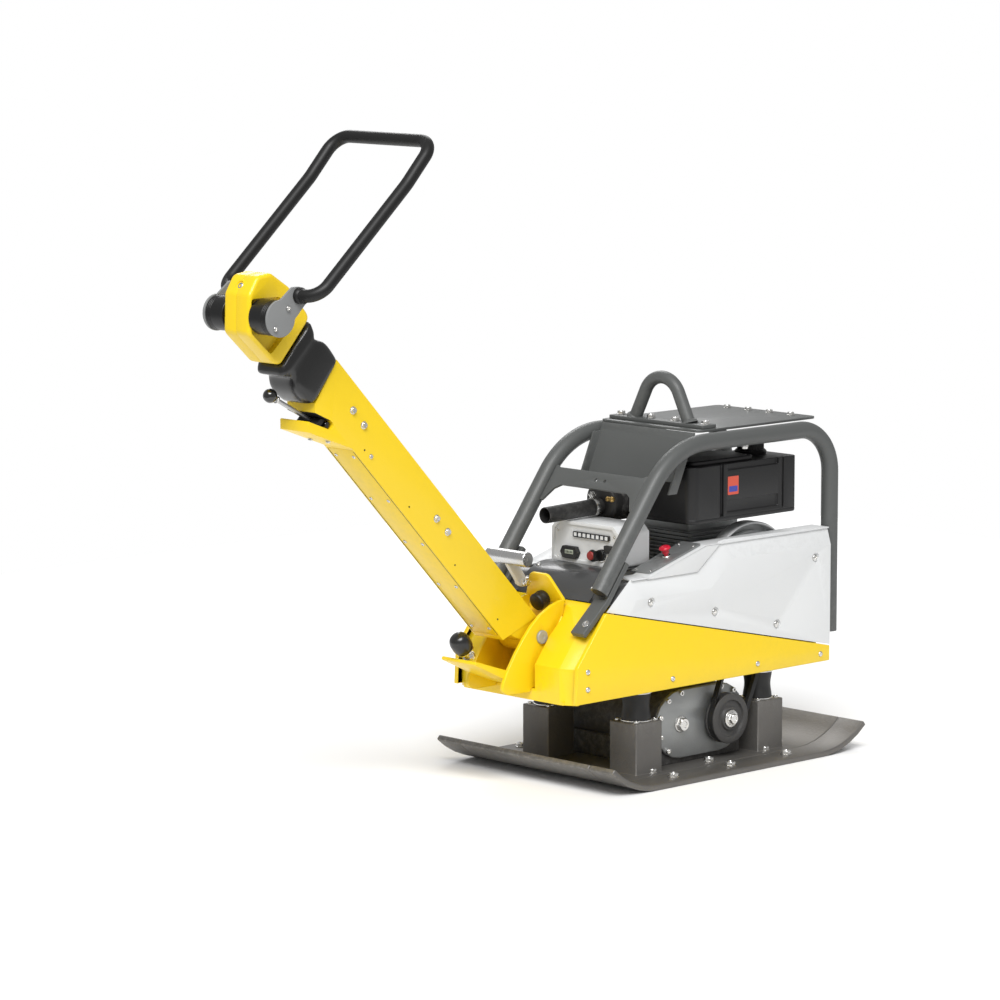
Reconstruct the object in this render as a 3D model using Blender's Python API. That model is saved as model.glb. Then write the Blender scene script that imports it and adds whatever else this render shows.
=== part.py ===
"""Reversible diesel vibratory plate (soil compactor) with a tilting guide pole.

Frame: +X forward (away from the pole), +Y to the machine's left, +Z up, and the
origin in the middle of the sole's underside. Sizes below are in millimetres and
are turned into metres when a mesh is made.
"""
import math

import bmesh
import bpy
from mathutils import Vector

MM = 0.001
GAP = 0.3                      # clearance between neighbouring solids
ORIGIN = Vector((0, 0, 0))

# ---- driving dimensions -------------------------------------------------
PLATE_LENGTH = 900
PLATE_WIDTH = 440
PLATE_THICK = 14
SOLE_HALF = 290                # half length of the flat of the sole
NOSE_RADIUS = 240              # radius of the upturned ends
EXTENSION_WIDTH = 82

SHAFT_SPACING = 140            # between the two exciter shafts
SHAFT_Z = 112
GEAR_TEETH = 20
BELT_Y = -183

TRAY_Z = 212                   # underside of the sprung upper mass
COVER_Y = 210                  # outer face of the side covers
COVER_DEPTH = 12
REAR_X = -483
FRONT_X = 415

TUBE_R = 21.2                  # 42.4 mm guard tube
TUBE_Y = 180
TUBE_TOP_Z = 799
TUBE_FRONT_X = 442
LEG_SLOPE = math.radians(52.8)

CRANK = (200, 430)             # crankshaft axis in X, Z
PIVOT = (-450, 360)            # guide-pole hinge in X, Z
POLE_ANGLE = math.radians(46.24)
POLE_HALF = 48
HEAD_HALF = 44
HUB = (-1306, 1183)            # control-bow axis in X, Z
BOW_Y = 164
BOW_R = 15

YELLOW = ("yellow_paint", (0.93, 0.62, 0.01), 0.38, 0.0)
GREY = ("grey_paint", (0.11, 0.115, 0.112), 0.45, 0.0)
SILVER = ("silver_panel", (0.66, 0.67, 0.67), 0.42, 0.0)
STEEL = ("zinc_steel", (0.62, 0.62, 0.60), 0.3, 1.0)
IRON = ("cast_iron", (0.09, 0.09, 0.09), 0.7, 0.4)
BLACK = ("black_plastic", (0.02, 0.02, 0.02), 0.45, 0.0)
GLOSS = ("gloss_black", (0.008, 0.008, 0.008), 0.15, 0.0)
RUBBER = ("black_rubber", (0.015, 0.015, 0.015), 0.6, 0.0)
RED = ("red_plastic", (0.6, 0.01, 0.02), 0.35, 0.0)
ALLOY = ("engine_alloy", (0.45, 0.46, 0.46), 0.5, 0.8)
COVER_GREY = ("cover_grey", (0.07, 0.07, 0.072), 0.3, 0.0)

BODIES = {}                    # body name -> the empty on its joint axis


# ---- helpers ------------------------------------------------------------
def clear_scene():
    """Remove whatever the file starts with."""
    for item in list(bpy.data.objects):
        bpy.data.objects.remove(item, do_unlink=True)


def material(spec):
    """Return the Principled material named in spec, made on first use."""
    name, colour, roughness, metallic = spec
    found = bpy.data.materials.get(name)
    if found:
        return found
    made = bpy.data.materials.new(name)
    made.use_nodes = True
    shader = made.node_tree.nodes["Principled BSDF"]
    shader.inputs["Base Color"].default_value = (*colour, 1)
    shader.inputs["Roughness"].default_value = roughness
    shader.inputs["Metallic"].default_value = metallic
    return made


def body(name, pivot, parent=None):
    """Put an empty on a joint axis; the moving pieces are its children."""
    empty = bpy.data.objects.new("axis_" + name, None)
    bpy.context.scene.collection.objects.link(empty)
    place = Vector(pivot) * MM
    if parent:
        empty.parent = BODIES[parent]
        place -= world_place(BODIES[parent])
    empty.location = place
    BODIES[name] = empty


def world_place(item):
    """World location of an unrotated empty, in metres."""
    place = item.location.copy()
    while item.parent:
        item = item.parent
        place += item.location
    return place


def finish(name, mesh_data, spec, on=None, smooth=None, guide=False):
    """Turn a bmesh in world millimetres into an object carried by body `on`."""
    bmesh.ops.recalc_face_normals(mesh_data, faces=mesh_data.faces)
    start = world_place(BODIES[on]) if on else ORIGIN
    for vert in mesh_data.verts:
        vert.co = vert.co * MM - start
    mesh = bpy.data.meshes.new(name)
    mesh_data.to_mesh(mesh)
    mesh_data.free()
    if smooth:
        mesh.shade_smooth()
        mesh.set_sharp_from_angle(angle=math.radians(smooth))
    mesh.materials.append(material(spec))
    item = bpy.data.objects.new(name, mesh)
    bpy.context.scene.collection.objects.link(item)
    if on:
        item.parent = BODIES[on]
    if guide:
        item.hide_render = True
        item.display_type = "WIRE"
    return item


def extrude(outline, origin, u, v, along):
    """Solid made by moving a flat outline (in axes u, v) by the vector along."""
    origin, u, v, along = Vector(origin), Vector(u), Vector(v), Vector(along)
    data = bmesh.new()
    near = [data.verts.new(origin + u * a + v * b) for a, b in outline]
    far = [data.verts.new(vert.co + along) for vert in near]
    data.faces.new(near)
    data.faces.new(list(reversed(far)))
    count = len(outline)
    for i in range(count):
        j = (i + 1) % count
        data.faces.new((near[i], far[i], far[j], near[j]))
    return data


def slab(outline, low, high):
    """Solid between Y = low and Y = high from an outline in X, Z."""
    return extrude(outline, (0, low, 0), (1, 0, 0), (0, 0, 1), (0, high - low, 0))


def box(low, high):
    """Rectangular solid between two corners."""
    outline = [(low[0], low[2]), (high[0], low[2]), (high[0], high[2]), (low[0], high[2])]
    return slab(outline, low[1], high[1])


def arc(cx, cy, radius, start, end, steps):
    """Points on an arc, angles in degrees."""
    points = []
    for i in range(steps + 1):
        angle = math.radians(start + (end - start) * i / steps)
        points.append((cx + radius * math.cos(angle), cy + radius * math.sin(angle)))
    return points


def frame_of(axis):
    """Two unit vectors square to an axis."""
    axis = Vector(axis).normalized()
    side = Vector((0, 0, 1)) if abs(axis.z) < 0.9 else Vector((1, 0, 0))
    u = axis.cross(side).normalized()
    return axis, u, axis.cross(u)


def turned(profile, origin, axis, sides=24):
    """Turn a profile of (radius, height) about an axis.

    A profile that starts and ends on the axis gives a solid; any other profile
    is a closed section and gives a ring.
    """
    axis, u, v = frame_of(axis)
    origin = Vector(origin)
    data = bmesh.new()
    rings = []
    for radius, height in profile:
        centre = origin + axis * height
        if radius == 0:
            rings.append([data.verts.new(centre)])
            continue
        ring = []
        for i in range(sides):
            angle = 2 * math.pi * i / sides
            ring.append(data.verts.new(centre + (u * math.cos(angle) + v * math.sin(angle)) * radius))
        rings.append(ring)
    pairs = list(zip(rings, rings[1:]))
    if profile[0][0] > 0:
        pairs.append((rings[-1], rings[0]))
    for one, two in pairs:
        for i in range(sides):
            j = (i + 1) % sides
            corners = [one[i % len(one)], one[j % len(one)], two[j % len(two)], two[i % len(two)]]
            unique = list(dict.fromkeys(corners))
            data.faces.new(unique)
    return data


def rod(start, end, radius, sides=16):
    """Plain round bar between two points."""
    start, end = Vector(start), Vector(end)
    length = (end - start).length
    return turned([(0, 0), (radius, 0), (radius, length), (0, length)], start, end - start, sides)


def bend_path(corners, radius, steps=6):
    """Round the corners of a path with arcs of one radius."""
    corners = [Vector(c) for c in corners]
    path = [corners[0]]
    for before, here, after in zip(corners, corners[1:], corners[2:]):
        into = (here - before).normalized()
        out = (after - here).normalized()
        turn = into.angle(out)
        reach = radius * math.tan(turn / 2)
        start = here - into * reach
        centre = start + (out - into * into.dot(out)).normalized() * radius
        arm = start - centre
        for i in range(steps + 1):
            angle = turn * i / steps
            path.append(centre + arm * math.cos(angle) + into * radius * math.sin(angle))
    path.append(corners[-1])
    return path


def tube(path, radius, sides=12):
    """Round bar swept along a path, with flat ends."""
    path = [Vector(p) for p in path]
    data = bmesh.new()
    rings = []
    side = None
    for i, point in enumerate(path):
        ahead = path[min(i + 1, len(path) - 1)]
        behind = path[max(i - 1, 0)]
        tangent = (ahead - behind).normalized()
        if side is None:
            side = frame_of(tangent)[1]
        side = (side - tangent * side.dot(tangent)).normalized()
        up = tangent.cross(side)
        ring = []
        for k in range(sides):
            angle = 2 * math.pi * k / sides
            ring.append(data.verts.new(point + (side * math.cos(angle) + up * math.sin(angle)) * radius))
        rings.append(ring)
    for one, two in zip(rings, rings[1:]):
        for k in range(sides):
            j = (k + 1) % sides
            data.faces.new((one[k], one[j], two[j], two[k]))
    data.faces.new(list(reversed(rings[0])))
    data.faces.new(rings[-1])
    return data


def inset(outline, distance):
    """Move a counter-clockwise outline inwards by a distance, corners mitred."""
    points = [Vector(p) for p in outline]
    moved = []
    for i, here in enumerate(points):
        before = (here - points[i - 1]).normalized()
        after = (points[(i + 1) % len(points)] - here).normalized()
        normal_a = Vector((-before.y, before.x))
        normal_b = Vector((-after.y, after.x))
        mitre = (normal_a + normal_b).normalized()
        moved.append(here + mitre * distance / mitre.dot(normal_a))
    return [(p.x, p.y) for p in moved]


def pan(outline, outer, inner, wall):
    """Pressed cover: a face at Y = outer with a rim reaching to Y = inner."""
    sign = 1 if inner > outer else -1
    levels = [(outline, outer), (outline, inner)]
    smaller = inset(outline, wall)
    levels += [(smaller, inner), (smaller, outer + sign * wall)]
    data = bmesh.new()
    loops = [[data.verts.new((x, y, z)) for x, z in points] for points, y in levels]
    for one, two in zip(loops, loops[1:]):
        for i in range(len(outline)):
            j = (i + 1) % len(outline)
            data.faces.new((one[i], one[j], two[j], two[i]))
    data.faces.new(loops[0])
    data.faces.new(loops[-1])
    return data


def thicken(line, thickness):
    """Closed outline of a bent sheet: the line and its copy moved to the right."""
    points = [Vector(p) for p in line]
    moved = []
    for i, here in enumerate(points):
        before = (here - points[i - 1]).normalized() if i else (points[1] - here).normalized()
        after = (points[i + 1] - here).normalized() if i + 1 < len(points) else before
        normal_a = Vector((before.y, -before.x))
        normal_b = Vector((after.y, -after.x))
        mitre = (normal_a + normal_b).normalized()
        moved.append(here + mitre * thickness / mitre.dot(normal_a))
    return [(p.x, p.y) for p in points] + [(p.x, p.y) for p in reversed(moved)]


def combine(target, operation, pieces, on=None):
    """Weld guide solids to a target (UNION) or cut them away (DIFFERENCE)."""
    for number, data in enumerate(pieces):
        name = f"guide_{target.name}_{operation.lower()}_{number}"
        tool = finish(name, data, STEEL, on=on, guide=True)
        change = target.modifiers.new(name, "BOOLEAN")
        change.operation = operation
        change.solver = "EXACT"
        change.object = tool
    return target


# ---- lower mass: sole, exciter, mounts ----------------------------------
def sole_outline():
    """Side view of the sole: flat in the middle, both ends turned up."""
    sweep = math.degrees(math.asin((PLATE_LENGTH / 2 - SOLE_HALF) / NOSE_RADIUS))
    inner = NOSE_RADIUS - PLATE_THICK
    under = arc(SOLE_HALF, NOSE_RADIUS, NOSE_RADIUS, -90, -90 + sweep, 5)
    over = arc(SOLE_HALF, NOSE_RADIUS, inner, -90 + sweep, -90, 5)
    front = under + over
    rear = [(-x, z) for x, z in reversed(front)]
    return front + rear


def build_sole():
    """Cast sole with a tower under each rubber mount, and an extension plate each side."""
    half = PLATE_WIDTH / 2
    plate = finish("base_plate", slab(sole_outline(), -half, half), IRON)
    towers = []
    for x in (-215, 215):
        for y in (-150, 150):
            towers.append(box((x - 45, y - 45, PLATE_THICK - 4), (x + 45, y + 45, 140)))
    combine(plate, "UNION", towers)
    for side, sign in (("right", -1), ("left", 1)):
        near = sign * (half + GAP)
        far = sign * (half + GAP + EXTENSION_WIDTH)
        finish("extension_plate_" + side, slab(sole_outline(), near, far), IRON)


def build_rubber_mounts():
    """Four waisted rubber mounts that carry the upper mass."""
    low, high = 140 + GAP, TRAY_Z - GAP
    waist = (33, (low + high) / 2)
    profile = [(0, low), (40, low), (40, low + 8), waist, (40, high - 8), (40, high), (0, high)]
    for end, x in (("front", 215), ("rear", -215)):
        for side, y in (("right", -150), ("left", 150)):
            data = turned(profile, (x, y, 0), (0, 0, 1), 16)
            finish(f"rubber_mount_{end}_{side}", data, RUBBER, smooth=40)


def racetrack(radius):
    """Outline round both exciter shafts."""
    x = SHAFT_SPACING / 2
    return arc(x, SHAFT_Z, radius, -90, 90, 10) + arc(-x, SHAFT_Z, radius, 90, 270, 10)


def build_exciter_housing():
    """Housing bored for both shafts, with its end cover."""
    housing = finish("exciter_housing", slab(racetrack(84), -150, 150), IRON, smooth=30)
    foot = box((-152, -150, PLATE_THICK + GAP), (152, 150, SHAFT_Z - 40))
    combine(housing, "UNION", [foot])
    x = SHAFT_SPACING / 2
    bores = []
    for place in (x, -x):
        bores.append(rod((place, -152, SHAFT_Z), (place, -117, SHAFT_Z), 77, 32))
        bores.append(rod((place, -118, SHAFT_Z), (place, 135, SHAFT_Z), 60, 24))
    combine(housing, "DIFFERENCE", bores)
    cover = finish("exciter_cover", slab(racetrack(84), -160, -150 - GAP), IRON, smooth=30)
    combine(cover, "DIFFERENCE", [rod((x, -161, SHAFT_Z), (x, -149, SHAFT_Z), 22.3, 24)])


def gear_outline(cx, cz, phase):
    """Spur gear with straight-flanked teeth: root, pitch and tip radii in turn."""
    pitch = SHAFT_SPACING / 2
    flank = [(pitch - 7, 5.0), (pitch, 3.9), (pitch + 5, 2.0)]
    shape = [(radius, -offset) for radius, offset in flank] + flank[::-1]
    step = 360 / GEAR_TEETH
    points = []
    for tooth in range(GEAR_TEETH):
        for radius, offset in shape:
            angle = math.radians(phase + tooth * step + offset)
            points.append((cx + radius * math.cos(angle), cz + radius * math.sin(angle)))
    return points


def build_exciter_shafts():
    """Two counter-turning shafts, each with a half-round weight and a timing gear."""
    x = SHAFT_SPACING / 2
    half_tooth = 180 / GEAR_TEETH
    for name, place, start, phase in (("front", x, -200, half_tooth), ("rear", -x, -148, 0)):
        on = "exciter_" + name
        body(on, (place, 0, SHAFT_Z))
        shaft = finish("exciter_shaft_" + name, rod((place, start, SHAFT_Z), (place, 134, SHAFT_Z), 22, 24),
                       STEEL, on=on, smooth=40)
        weight = slab(arc(place, SHAFT_Z, 56, 180, 360, 12), -105, 125)
        combine(shaft, "UNION", [weight], on=on)
        gear = finish("timing_gear_" + name, slab(gear_outline(place, SHAFT_Z, phase), -146, -121),
                      STEEL, on=on)
        combine(gear, "DIFFERENCE", [rod((place, -147, SHAFT_Z), (place, -120, SHAFT_Z), 22.3, 24)], on=on)


def pulley_profile(bore, groove, rim):
    """Grooved wheel section, heights measured from the belt's centre line."""
    half = [(bore, 14), (rim, 14), (rim, 9), (groove, 8.6)]
    return [(radius, -height) for radius, height in half] + half[::-1]


def build_belt_drive():
    """Pulley on the front exciter shaft, flywheel with the clutch pulley, and the belt."""
    x = SHAFT_SPACING / 2
    data = turned(pulley_profile(22.3, 49.5, 62), (x, BELT_Y, SHAFT_Z), (0, 1, 0), 32)
    finish("exciter_pulley", data, IRON, on="exciter_front", smooth=30)
    body("crankshaft", (CRANK[0], 0, CRANK[1]))
    profile = [(0, -14), (30, -14), (74, -14), (74, -9), (59.5, -8.6), (59.5, 8.6), (74, 9), (74, 14),
               (24, 14), (24, 40), (128, 44), (128, 62), (24, 66), (24, 76), (0, 76)]
    data = turned(profile, (CRANK[0], BELT_Y, CRANK[1]), (0, 1, 0), 32)
    finish("clutch_pulley", data, IRON, on="crankshaft", smooth=30)
    lean = math.degrees(math.atan2(CRANK[1] - SHAFT_Z, CRANK[0] - x))

    def loop(small, large):
        """Belt outline round both pulleys."""
        below = arc(x, SHAFT_Z, small, lean + 92, lean + 268, 16)
        above = arc(CRANK[0], CRANK[1], large, lean - 92, lean + 92, 16)
        return below + above
    belt = finish("drive_belt", slab(loop(60, 70), BELT_Y - 8, BELT_Y + 8), RUBBER, smooth=30)
    combine(belt, "DIFFERENCE", [slab(loop(50, 60), BELT_Y - 9, BELT_Y + 9)])


# ---- upper mass: tray, covers, engine -----------------------------------
def build_upper_frame():
    """Tray welded to a bent rear wall with chamfered corners and a well for the pole, and a front wall."""
    wall = [(-350, 437), (-433, 363), (REAR_X, 299), (REAR_X, TRAY_Z)]
    sheet = thicken(wall[::-1], 8)
    frame = finish("upper_frame", slab(sheet, -158, 158), YELLOW)
    tray = box((REAR_X + 1, -170, TRAY_Z), (FRONT_X - 8, 170, TRAY_Z + 10))
    front = box((400, -170, TRAY_Z), (409, 170, 380))
    pieces = [tray, front]
    for sign in (-1, 1):
        corner = bmesh.new()
        rows = []
        for y, back in ((150, 0), (158, 0), (197, 20)):
            rows.append([corner.verts.new((x + back, sign * y, z)) for x, z in sheet])
        count = len(sheet)
        for one, two in zip(rows, rows[1:]):
            for i in range(count):
                j = (i + 1) % count
                corner.faces.new((one[i], one[j], two[j], two[i]))
        corner.faces.new(rows[0])
        corner.faces.new(rows[-1])
        pieces.append(corner)
        pieces.append(box((405, sign * 180 - 15, 290), (TUBE_FRONT_X - TUBE_R - GAP, sign * 180 + 15, 350)))
        pieces.append(box((400, sign * 182 - 15, 290), (409, sign * 182 + 15, 350)))
    combine(frame, "UNION", pieces)
    well = [(-392, 424), (-365, 424), (-441, 290), (-441, 240), (-500, 240), (-500, 299), (-450, 372)]
    combine(frame, "DIFFERENCE", [slab(well, -76, 76)])
    back = thicken([(-441, 218), (-441, 290), (-363, 427)], 6)
    cheek = [(-482, 218), (-440, 218), (-440, 290), (-361, 427), (-432, 363), (-482, 298)]
    combine(frame, "UNION", [slab(back, -80, 80), slab(cheek, -82, -74), slab(cheek, 74, 82)])


def build_side_covers():
    """Yellow lower cover and silver hood on each side, parted by a sloping joint."""
    yellow = [(-478, 216), (FRONT_X, 216), (FRONT_X, 254), (-377, 425), (-473, 305)]
    silver = [(-364, 424.7), (FRONT_X, 256.8), (FRONT_X, 552), (39, 558), (21, 555), (-59, 495), (-284, 495)]
    deck = thicken([(-284, 495), (-225, 495), (-28, 552), (FRONT_X, 552)], 3)
    cheek = [(-232, 490), (-59, 490), (21, 550), (-28, 550)]
    for side, sign in (("right", -1), ("left", 1)):
        outer, inner = sign * COVER_Y, sign * (COVER_Y - COVER_DEPTH)
        finish("side_cover_" + side, pan(yellow, outer, inner, 4), YELLOW)
        hood = finish("hood_" + side, pan(silver, outer, inner, 4), SILVER)
        pieces = [slab(deck, sign * 146, sign * (COVER_Y - 6)), slab(cheek, sign * 195, sign * (COVER_Y - 6))]
        combine(hood, "UNION", pieces)


def build_rear_cover():
    """Rolled dark cover between the tray's rear wall and the control box."""
    roll = [(-350, 442)] + arc(-250, 405, 100, 152, 90, 6) + [(-130, 505)]
    low_roll = [(-350, 442)] + arc(-262, 400, 91, 152, 105, 4)
    cover = finish("rear_cover", slab(thicken(roll, 4), -124, 124), COVER_GREY, smooth=35)
    wings = [slab(thicken(low_roll, 4), sign * 118, sign * 196) for sign in (-1, 1)]
    combine(cover, "UNION", wings)


def build_control_box():
    """Control box with its hour meter, lamp strip, start button and key."""
    face = [(-114, 505 + GAP), (114, 505 + GAP), (114, 588), (96, 606), (-96, 606), (-114, 588)]
    data = extrude(face, (-240, 0, 0), (0, 1, 0), (0, 0, 1), (105, 0, 0))
    box_item = finish("control_box", data, SILVER)
    button = rod((-242, -24, 529), (-215, -24, 529), 9.3, 16)
    lock = rod((-242, -54, 533), (-215, -54, 533), 8.3, 16)
    combine(box_item, "DIFFERENCE", [button, lock])
    bezel = [(30, 530.5), (22, 545), (-22, 545), (-30, 530.5), (-22, 516), (22, 516)]
    data = extrude([(y + 48, z) for y, z in bezel], (-248, 0, 0), (0, 1, 0), (0, 0, 1), (8 - GAP, 0, 0))
    finish("hour_meter", data, BLACK)
    strip = [(-83, 569), (40, 569), (40, 583), (-83, 583)]
    data = extrude(strip, (-242, 0, 0), (0, 1, 0), (0, 0, 1), (2 - GAP, 0, 0))
    finish("indicator_strip", data, BLACK)

    body("start_button", (-240, -24, 529))
    profile = [(0, 0), (9, 0), (9, 18), (11, 18.2), (11, 21), (9, 23), (0, 23.6)]
    data = turned(profile, (-226, -24, 529), (-1, 0, 0), 16)
    finish("start_button", data, RED, on="start_button", smooth=40)
    body("ignition_key", (-240, -54, 533))
    profile = [(0, 0), (8, 0), (8, 16.3), (14, 16.3), (14, 20), (13, 22), (0, 22)]
    key = finish("ignition_key", turned(profile, (-224, -54, 533), (-1, 0, 0), 16), BLACK,
                 on="ignition_key", smooth=40)
    combine(key, "UNION", [box((-256, -56, 521), (-245, -52, 545))], on="ignition_key")


def build_stop_knob():
    """Sloping service plate on the right shoulder with a red pull knob."""
    start, end = Vector((-212, 499)), Vector((-34, 552.5))
    run = (end - start).normalized()
    rise = Vector((-run.y, run.x))
    corners = [start, end, end + rise * 3, start + rise * 3]
    plate = finish("service_plate", slab([(c.x, c.y) for c in corners], -192, -128), GREY)
    foot = start + run * 95
    centre = Vector((foot.x, -160, foot.y))
    axis = Vector((rise.x, 0, rise.y))
    combine(plate, "DIFFERENCE", [rod(centre - axis * 5, centre + axis * 12, 5.3, 16)])
    body("stop_knob", centre)
    profile = [(0, 0.5), (5, 0.5), (5, 12), (9, 13), (8, 20), (14.5, 24), (14.5, 27), (10, 31), (0, 32)]
    finish("stop_knob", turned(profile, centre, axis, 20), RED, on="stop_knob", smooth=40)


def build_engine():
    """Single-cylinder air-cooled diesel under the guard frame."""
    floor = TRAY_Z + 10 + GAP
    finish("crankcase", box((70, -104, floor), (340, 120, CRANK[1] - GAP)), ALLOY)
    fins = [(75, CRANK[1])]
    for i in range(7):
        low = CRANK[1] + 6 + i * 20
        fins += [(75, low), (60, low + 2), (60, low + 7), (75, low + 9)]
    fins.append((75, 588))
    mirrored = [(310 - x, z) for x, z in reversed(fins)]
    finish("cylinder", slab(mirrored + fins, -60, 112), ALLOY)
    ring = [(26, 0), (150, 0), (150, 36), (145, 36), (145, 5), (26, 5)]
    data = turned(ring, (CRANK[0], -106 - GAP, CRANK[1]), (0, -1, 0), 32)
    finish("fan_housing", data, SILVER, smooth=30)
    muffler = [(0, 0), (44, 0), (50, 6), (50, 164), (44, 170), (0, 170)]
    finish("muffler", turned(muffler, (40, 60, 641), (-1, 0, 0), 24), BLACK, smooth=40)
    start = Vector((-131, 60, 631))
    pipe = [(0, 0), (20, 0), (20, 186), (17, 186), (17, 6), (0, 6)]
    finish("exhaust_pipe", turned(pipe, start, (-186, 0, -5), 24), BLACK, smooth=40)
    filter_can = [(0, 0), (40, 0), (52, 14), (52, 196), (46, 210), (0, 210)]
    finish("air_filter", turned(filter_can, (60, 97, 706), (1, 0, 0), 24), BLACK, smooth=40)
    finish("battery", box((-310, -95, floor), (-140, 95, 400)), BLACK)


def build_fuel_tank():
    """Moulded tank under the right guard tube, with a screw cap."""
    plan = [(-44, 5), (-44, -152), (-28, -170), (335, -170), (335, 5)]
    data = extrude(plan, (0, 0, 597), (1, 0, 0), (0, 1, 0), (0, 0, 151))
    tank = finish("fuel_tank", data, BLACK, smooth=40)
    rounding = tank.modifiers.new("rounded_edges", "BEVEL")
    rounding.width = 12 * MM
    rounding.segments = 2
    body("fuel_cap", (270, -70, 748))
    cap = [(0, 0), (34, 0), (34, 20), (30, 24), (0, 24)]
    finish("fuel_cap", turned(cap, (270, -70, 748 + GAP), (0, 0, 1), 20), BLACK, on="fuel_cap", smooth=40)


# ---- guard frame --------------------------------------------------------
LEG_DOWN = Vector((-math.cos(LEG_SLOPE), 0, -math.sin(LEG_SLOPE)))
LEG_LENGTH = 413


def guard_knee(sign):
    """Corner of a guard tube's centre line, where the rear leg meets the top run."""
    return Vector((-123, sign * TUBE_Y, TUBE_TOP_Z))


def build_guard_tubes():
    """One bent tube each side: rear leg, top run and front leg."""
    for side, sign in (("right", -1), ("left", 1)):
        knee = guard_knee(sign)
        rear = bend_path([knee + LEG_DOWN * LEG_LENGTH, knee, (200, sign * TUBE_Y, TUBE_TOP_Z)], 226, 7)
        corner = (TUBE_FRONT_X, sign * TUBE_Y, TUBE_TOP_Z)
        foot = (TUBE_FRONT_X, sign * TUBE_Y, 285)
        front = bend_path([(200, sign * TUBE_Y, TUBE_TOP_Z), corner, foot], 112, 7)
        finish("guard_tube_" + side, tube(rear[:-1] + front, TUBE_R, 14), GREY, smooth=40)


def build_guard_feet():
    """Bracket under each rear leg, folded to lie on the tray's rear wall."""
    line = [(-287, 530), (-354.5, 441), (-434, 371.5)]
    outline = thicken(line, 14)
    for side, sign in (("right", -1), ("left", 1)):
        foot = finish("guard_foot_" + side, slab(outline, sign * 154, sign * 197), GREY)
        knee = guard_knee(sign)
        clearance = rod(knee + LEG_DOWN * 300, knee + LEG_DOWN * 420, TUBE_R + GAP, 14)
        combine(foot, "DIFFERENCE", [clearance])


def build_crossbar():
    """Sheet tie between the rear legs, arched below and with a gusset at each end."""
    middle = Vector((-190, 0, 711))
    slope = -LEG_DOWN
    half_outline = [(140, 22), (156, 30), (156, -72), (148, -72), (128, -30), (112, -20)]
    outline = [(-y, rise) for y, rise in half_outline[::-1]] + half_outline
    normal = slope.cross(Vector((0, 1, 0)))
    data = extrude(outline, middle - normal * 3, (0, 1, 0), slope, normal * 6)
    finish("guard_crossbar", data, GREY)


def build_guard_panels():
    """Flat plate over both top runs, and the sloping panel behind it."""
    low, high = TUBE_TOP_Z + TUBE_R + 0.6, TUBE_TOP_Z + TUBE_R + 6.6
    plan = [(-20, -168), (405, -168), (405, 168), (-20, 168)]
    data = extrude(plan, (0, 0, low), (1, 0, 0), (0, 1, 0), (0, 0, high - low))
    finish("top_plate", data, GREY)
    sheet = thicken([(-72, 701), (-23, 811), (-19, 819)], -4)
    panel = finish("back_panel", slab(sheet, -156, 156), GREY)
    wing = [(-83, 677), (-74, 697), (-28, 800), (-58, 800), (-112, 677)]
    combine(panel, "UNION", [slab(wing, sign * 151, sign * 156) for sign in (-1, 1)])


def build_lifting_eye():
    """Tube loop across the machine on a base strip with four bolt heads."""
    base = TUBE_TOP_Z + TUBE_R + 6.9
    centre, radius, foot = 878, 62, 93
    reach = math.hypot(foot, base - centre)
    start = math.degrees(math.atan2(base - centre, foot) + math.acos(radius / reach))
    loop = [(foot, base + 4)] + arc(0, centre, radius, start, 180 - start, 12) + [(-foot, base + 4)]
    strip = finish("lifting_eye", box((2, -160, base), (52, 160, base + 9)), GREY, smooth=40)
    pieces = [tube([(27, y, z) for y, z in loop], 16, 12)]
    for y in (-143, -41, 41, 143):
        pieces.append(rod((30, y, base + 8), (30, y, base + 17), 10, 6))
    combine(strip, "UNION", pieces)
    combine(strip, "DIFFERENCE", [box((-50, -200, base - 40), (100, 200, base))])


# ---- guide pole ---------------------------------------------------------
def on_pole(s, t):
    """Point in X, Z from a distance along the pole and one square to it."""
    cos, sin = math.cos(POLE_ANGLE), math.sin(POLE_ANGLE)
    return PIVOT[0] - s * cos + t * sin, PIVOT[1] + s * sin + t * cos


def pole_slab(points, low, high):
    """Solid between two Y planes from an outline in pole coordinates."""
    return slab([on_pole(s, t) for s, t in points], low, high)


def pole_3d(s, t, y=0):
    """Point in space from pole coordinates."""
    x, z = on_pole(s, t)
    return Vector((x, y, z))


STOP_TILT = math.radians(70.7)     # upper stop plate, from the horizontal


def build_pole_bracket():
    """Weldment on the tray: two curved ears, an upper stop plate and a lower stop ledge."""
    ear = [(-366, 441), (-384, 441), (-416, 432), (-453, 413), (-483, 389), (-509, 361), (-534, 330),
           (-557, 296), (-573, 266), (-580, 244), (-560, 232), (-486, 232), (-484.5, 241), (-443, 241),
           (-443, 290), (-376, 409), (-374, 428)]
    bracket = finish("pole_bracket", slab(ear, -64, -54), YELLOW)
    pieces = [slab(ear, 54, 64)]
    stop = [(-64, 430), (64, 430), (64, 440), (30, 500), (-30, 500), (-64, 440)]
    rise = Vector((-math.cos(STOP_TILT), 0, math.sin(STOP_TILT)))
    outline = [(y, (z - 440) / rise.z) for y, z in stop]
    normal = Vector((math.sin(STOP_TILT), 0, math.cos(STOP_TILT)))
    pieces.append(extrude(outline, Vector((-377, 0, 440)), (0, 1, 0), rise, normal * 8))
    ledge = [(-484.5, 240), (-484.5, 262), (-560, 292), (-660, 325), (-664, 317), (-560, 268)]
    pieces.append(slab(ledge, -58, 58))
    combine(bracket, "UNION", pieces)
    x, z = PIVOT
    combine(bracket, "DIFFERENCE", [rod((x, -70, z), (x, 70, z), 15.3, 24)])
    profile = [(0, -70), (20, -70), (20, -64.3), (15, -64.3), (15, 64.3), (20, 64.3), (20, 70), (0, 70)]
    finish("pivot_pin", turned(profile, (x, 0, z), (0, 1, 0), 24), STEEL, smooth=40)


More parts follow.
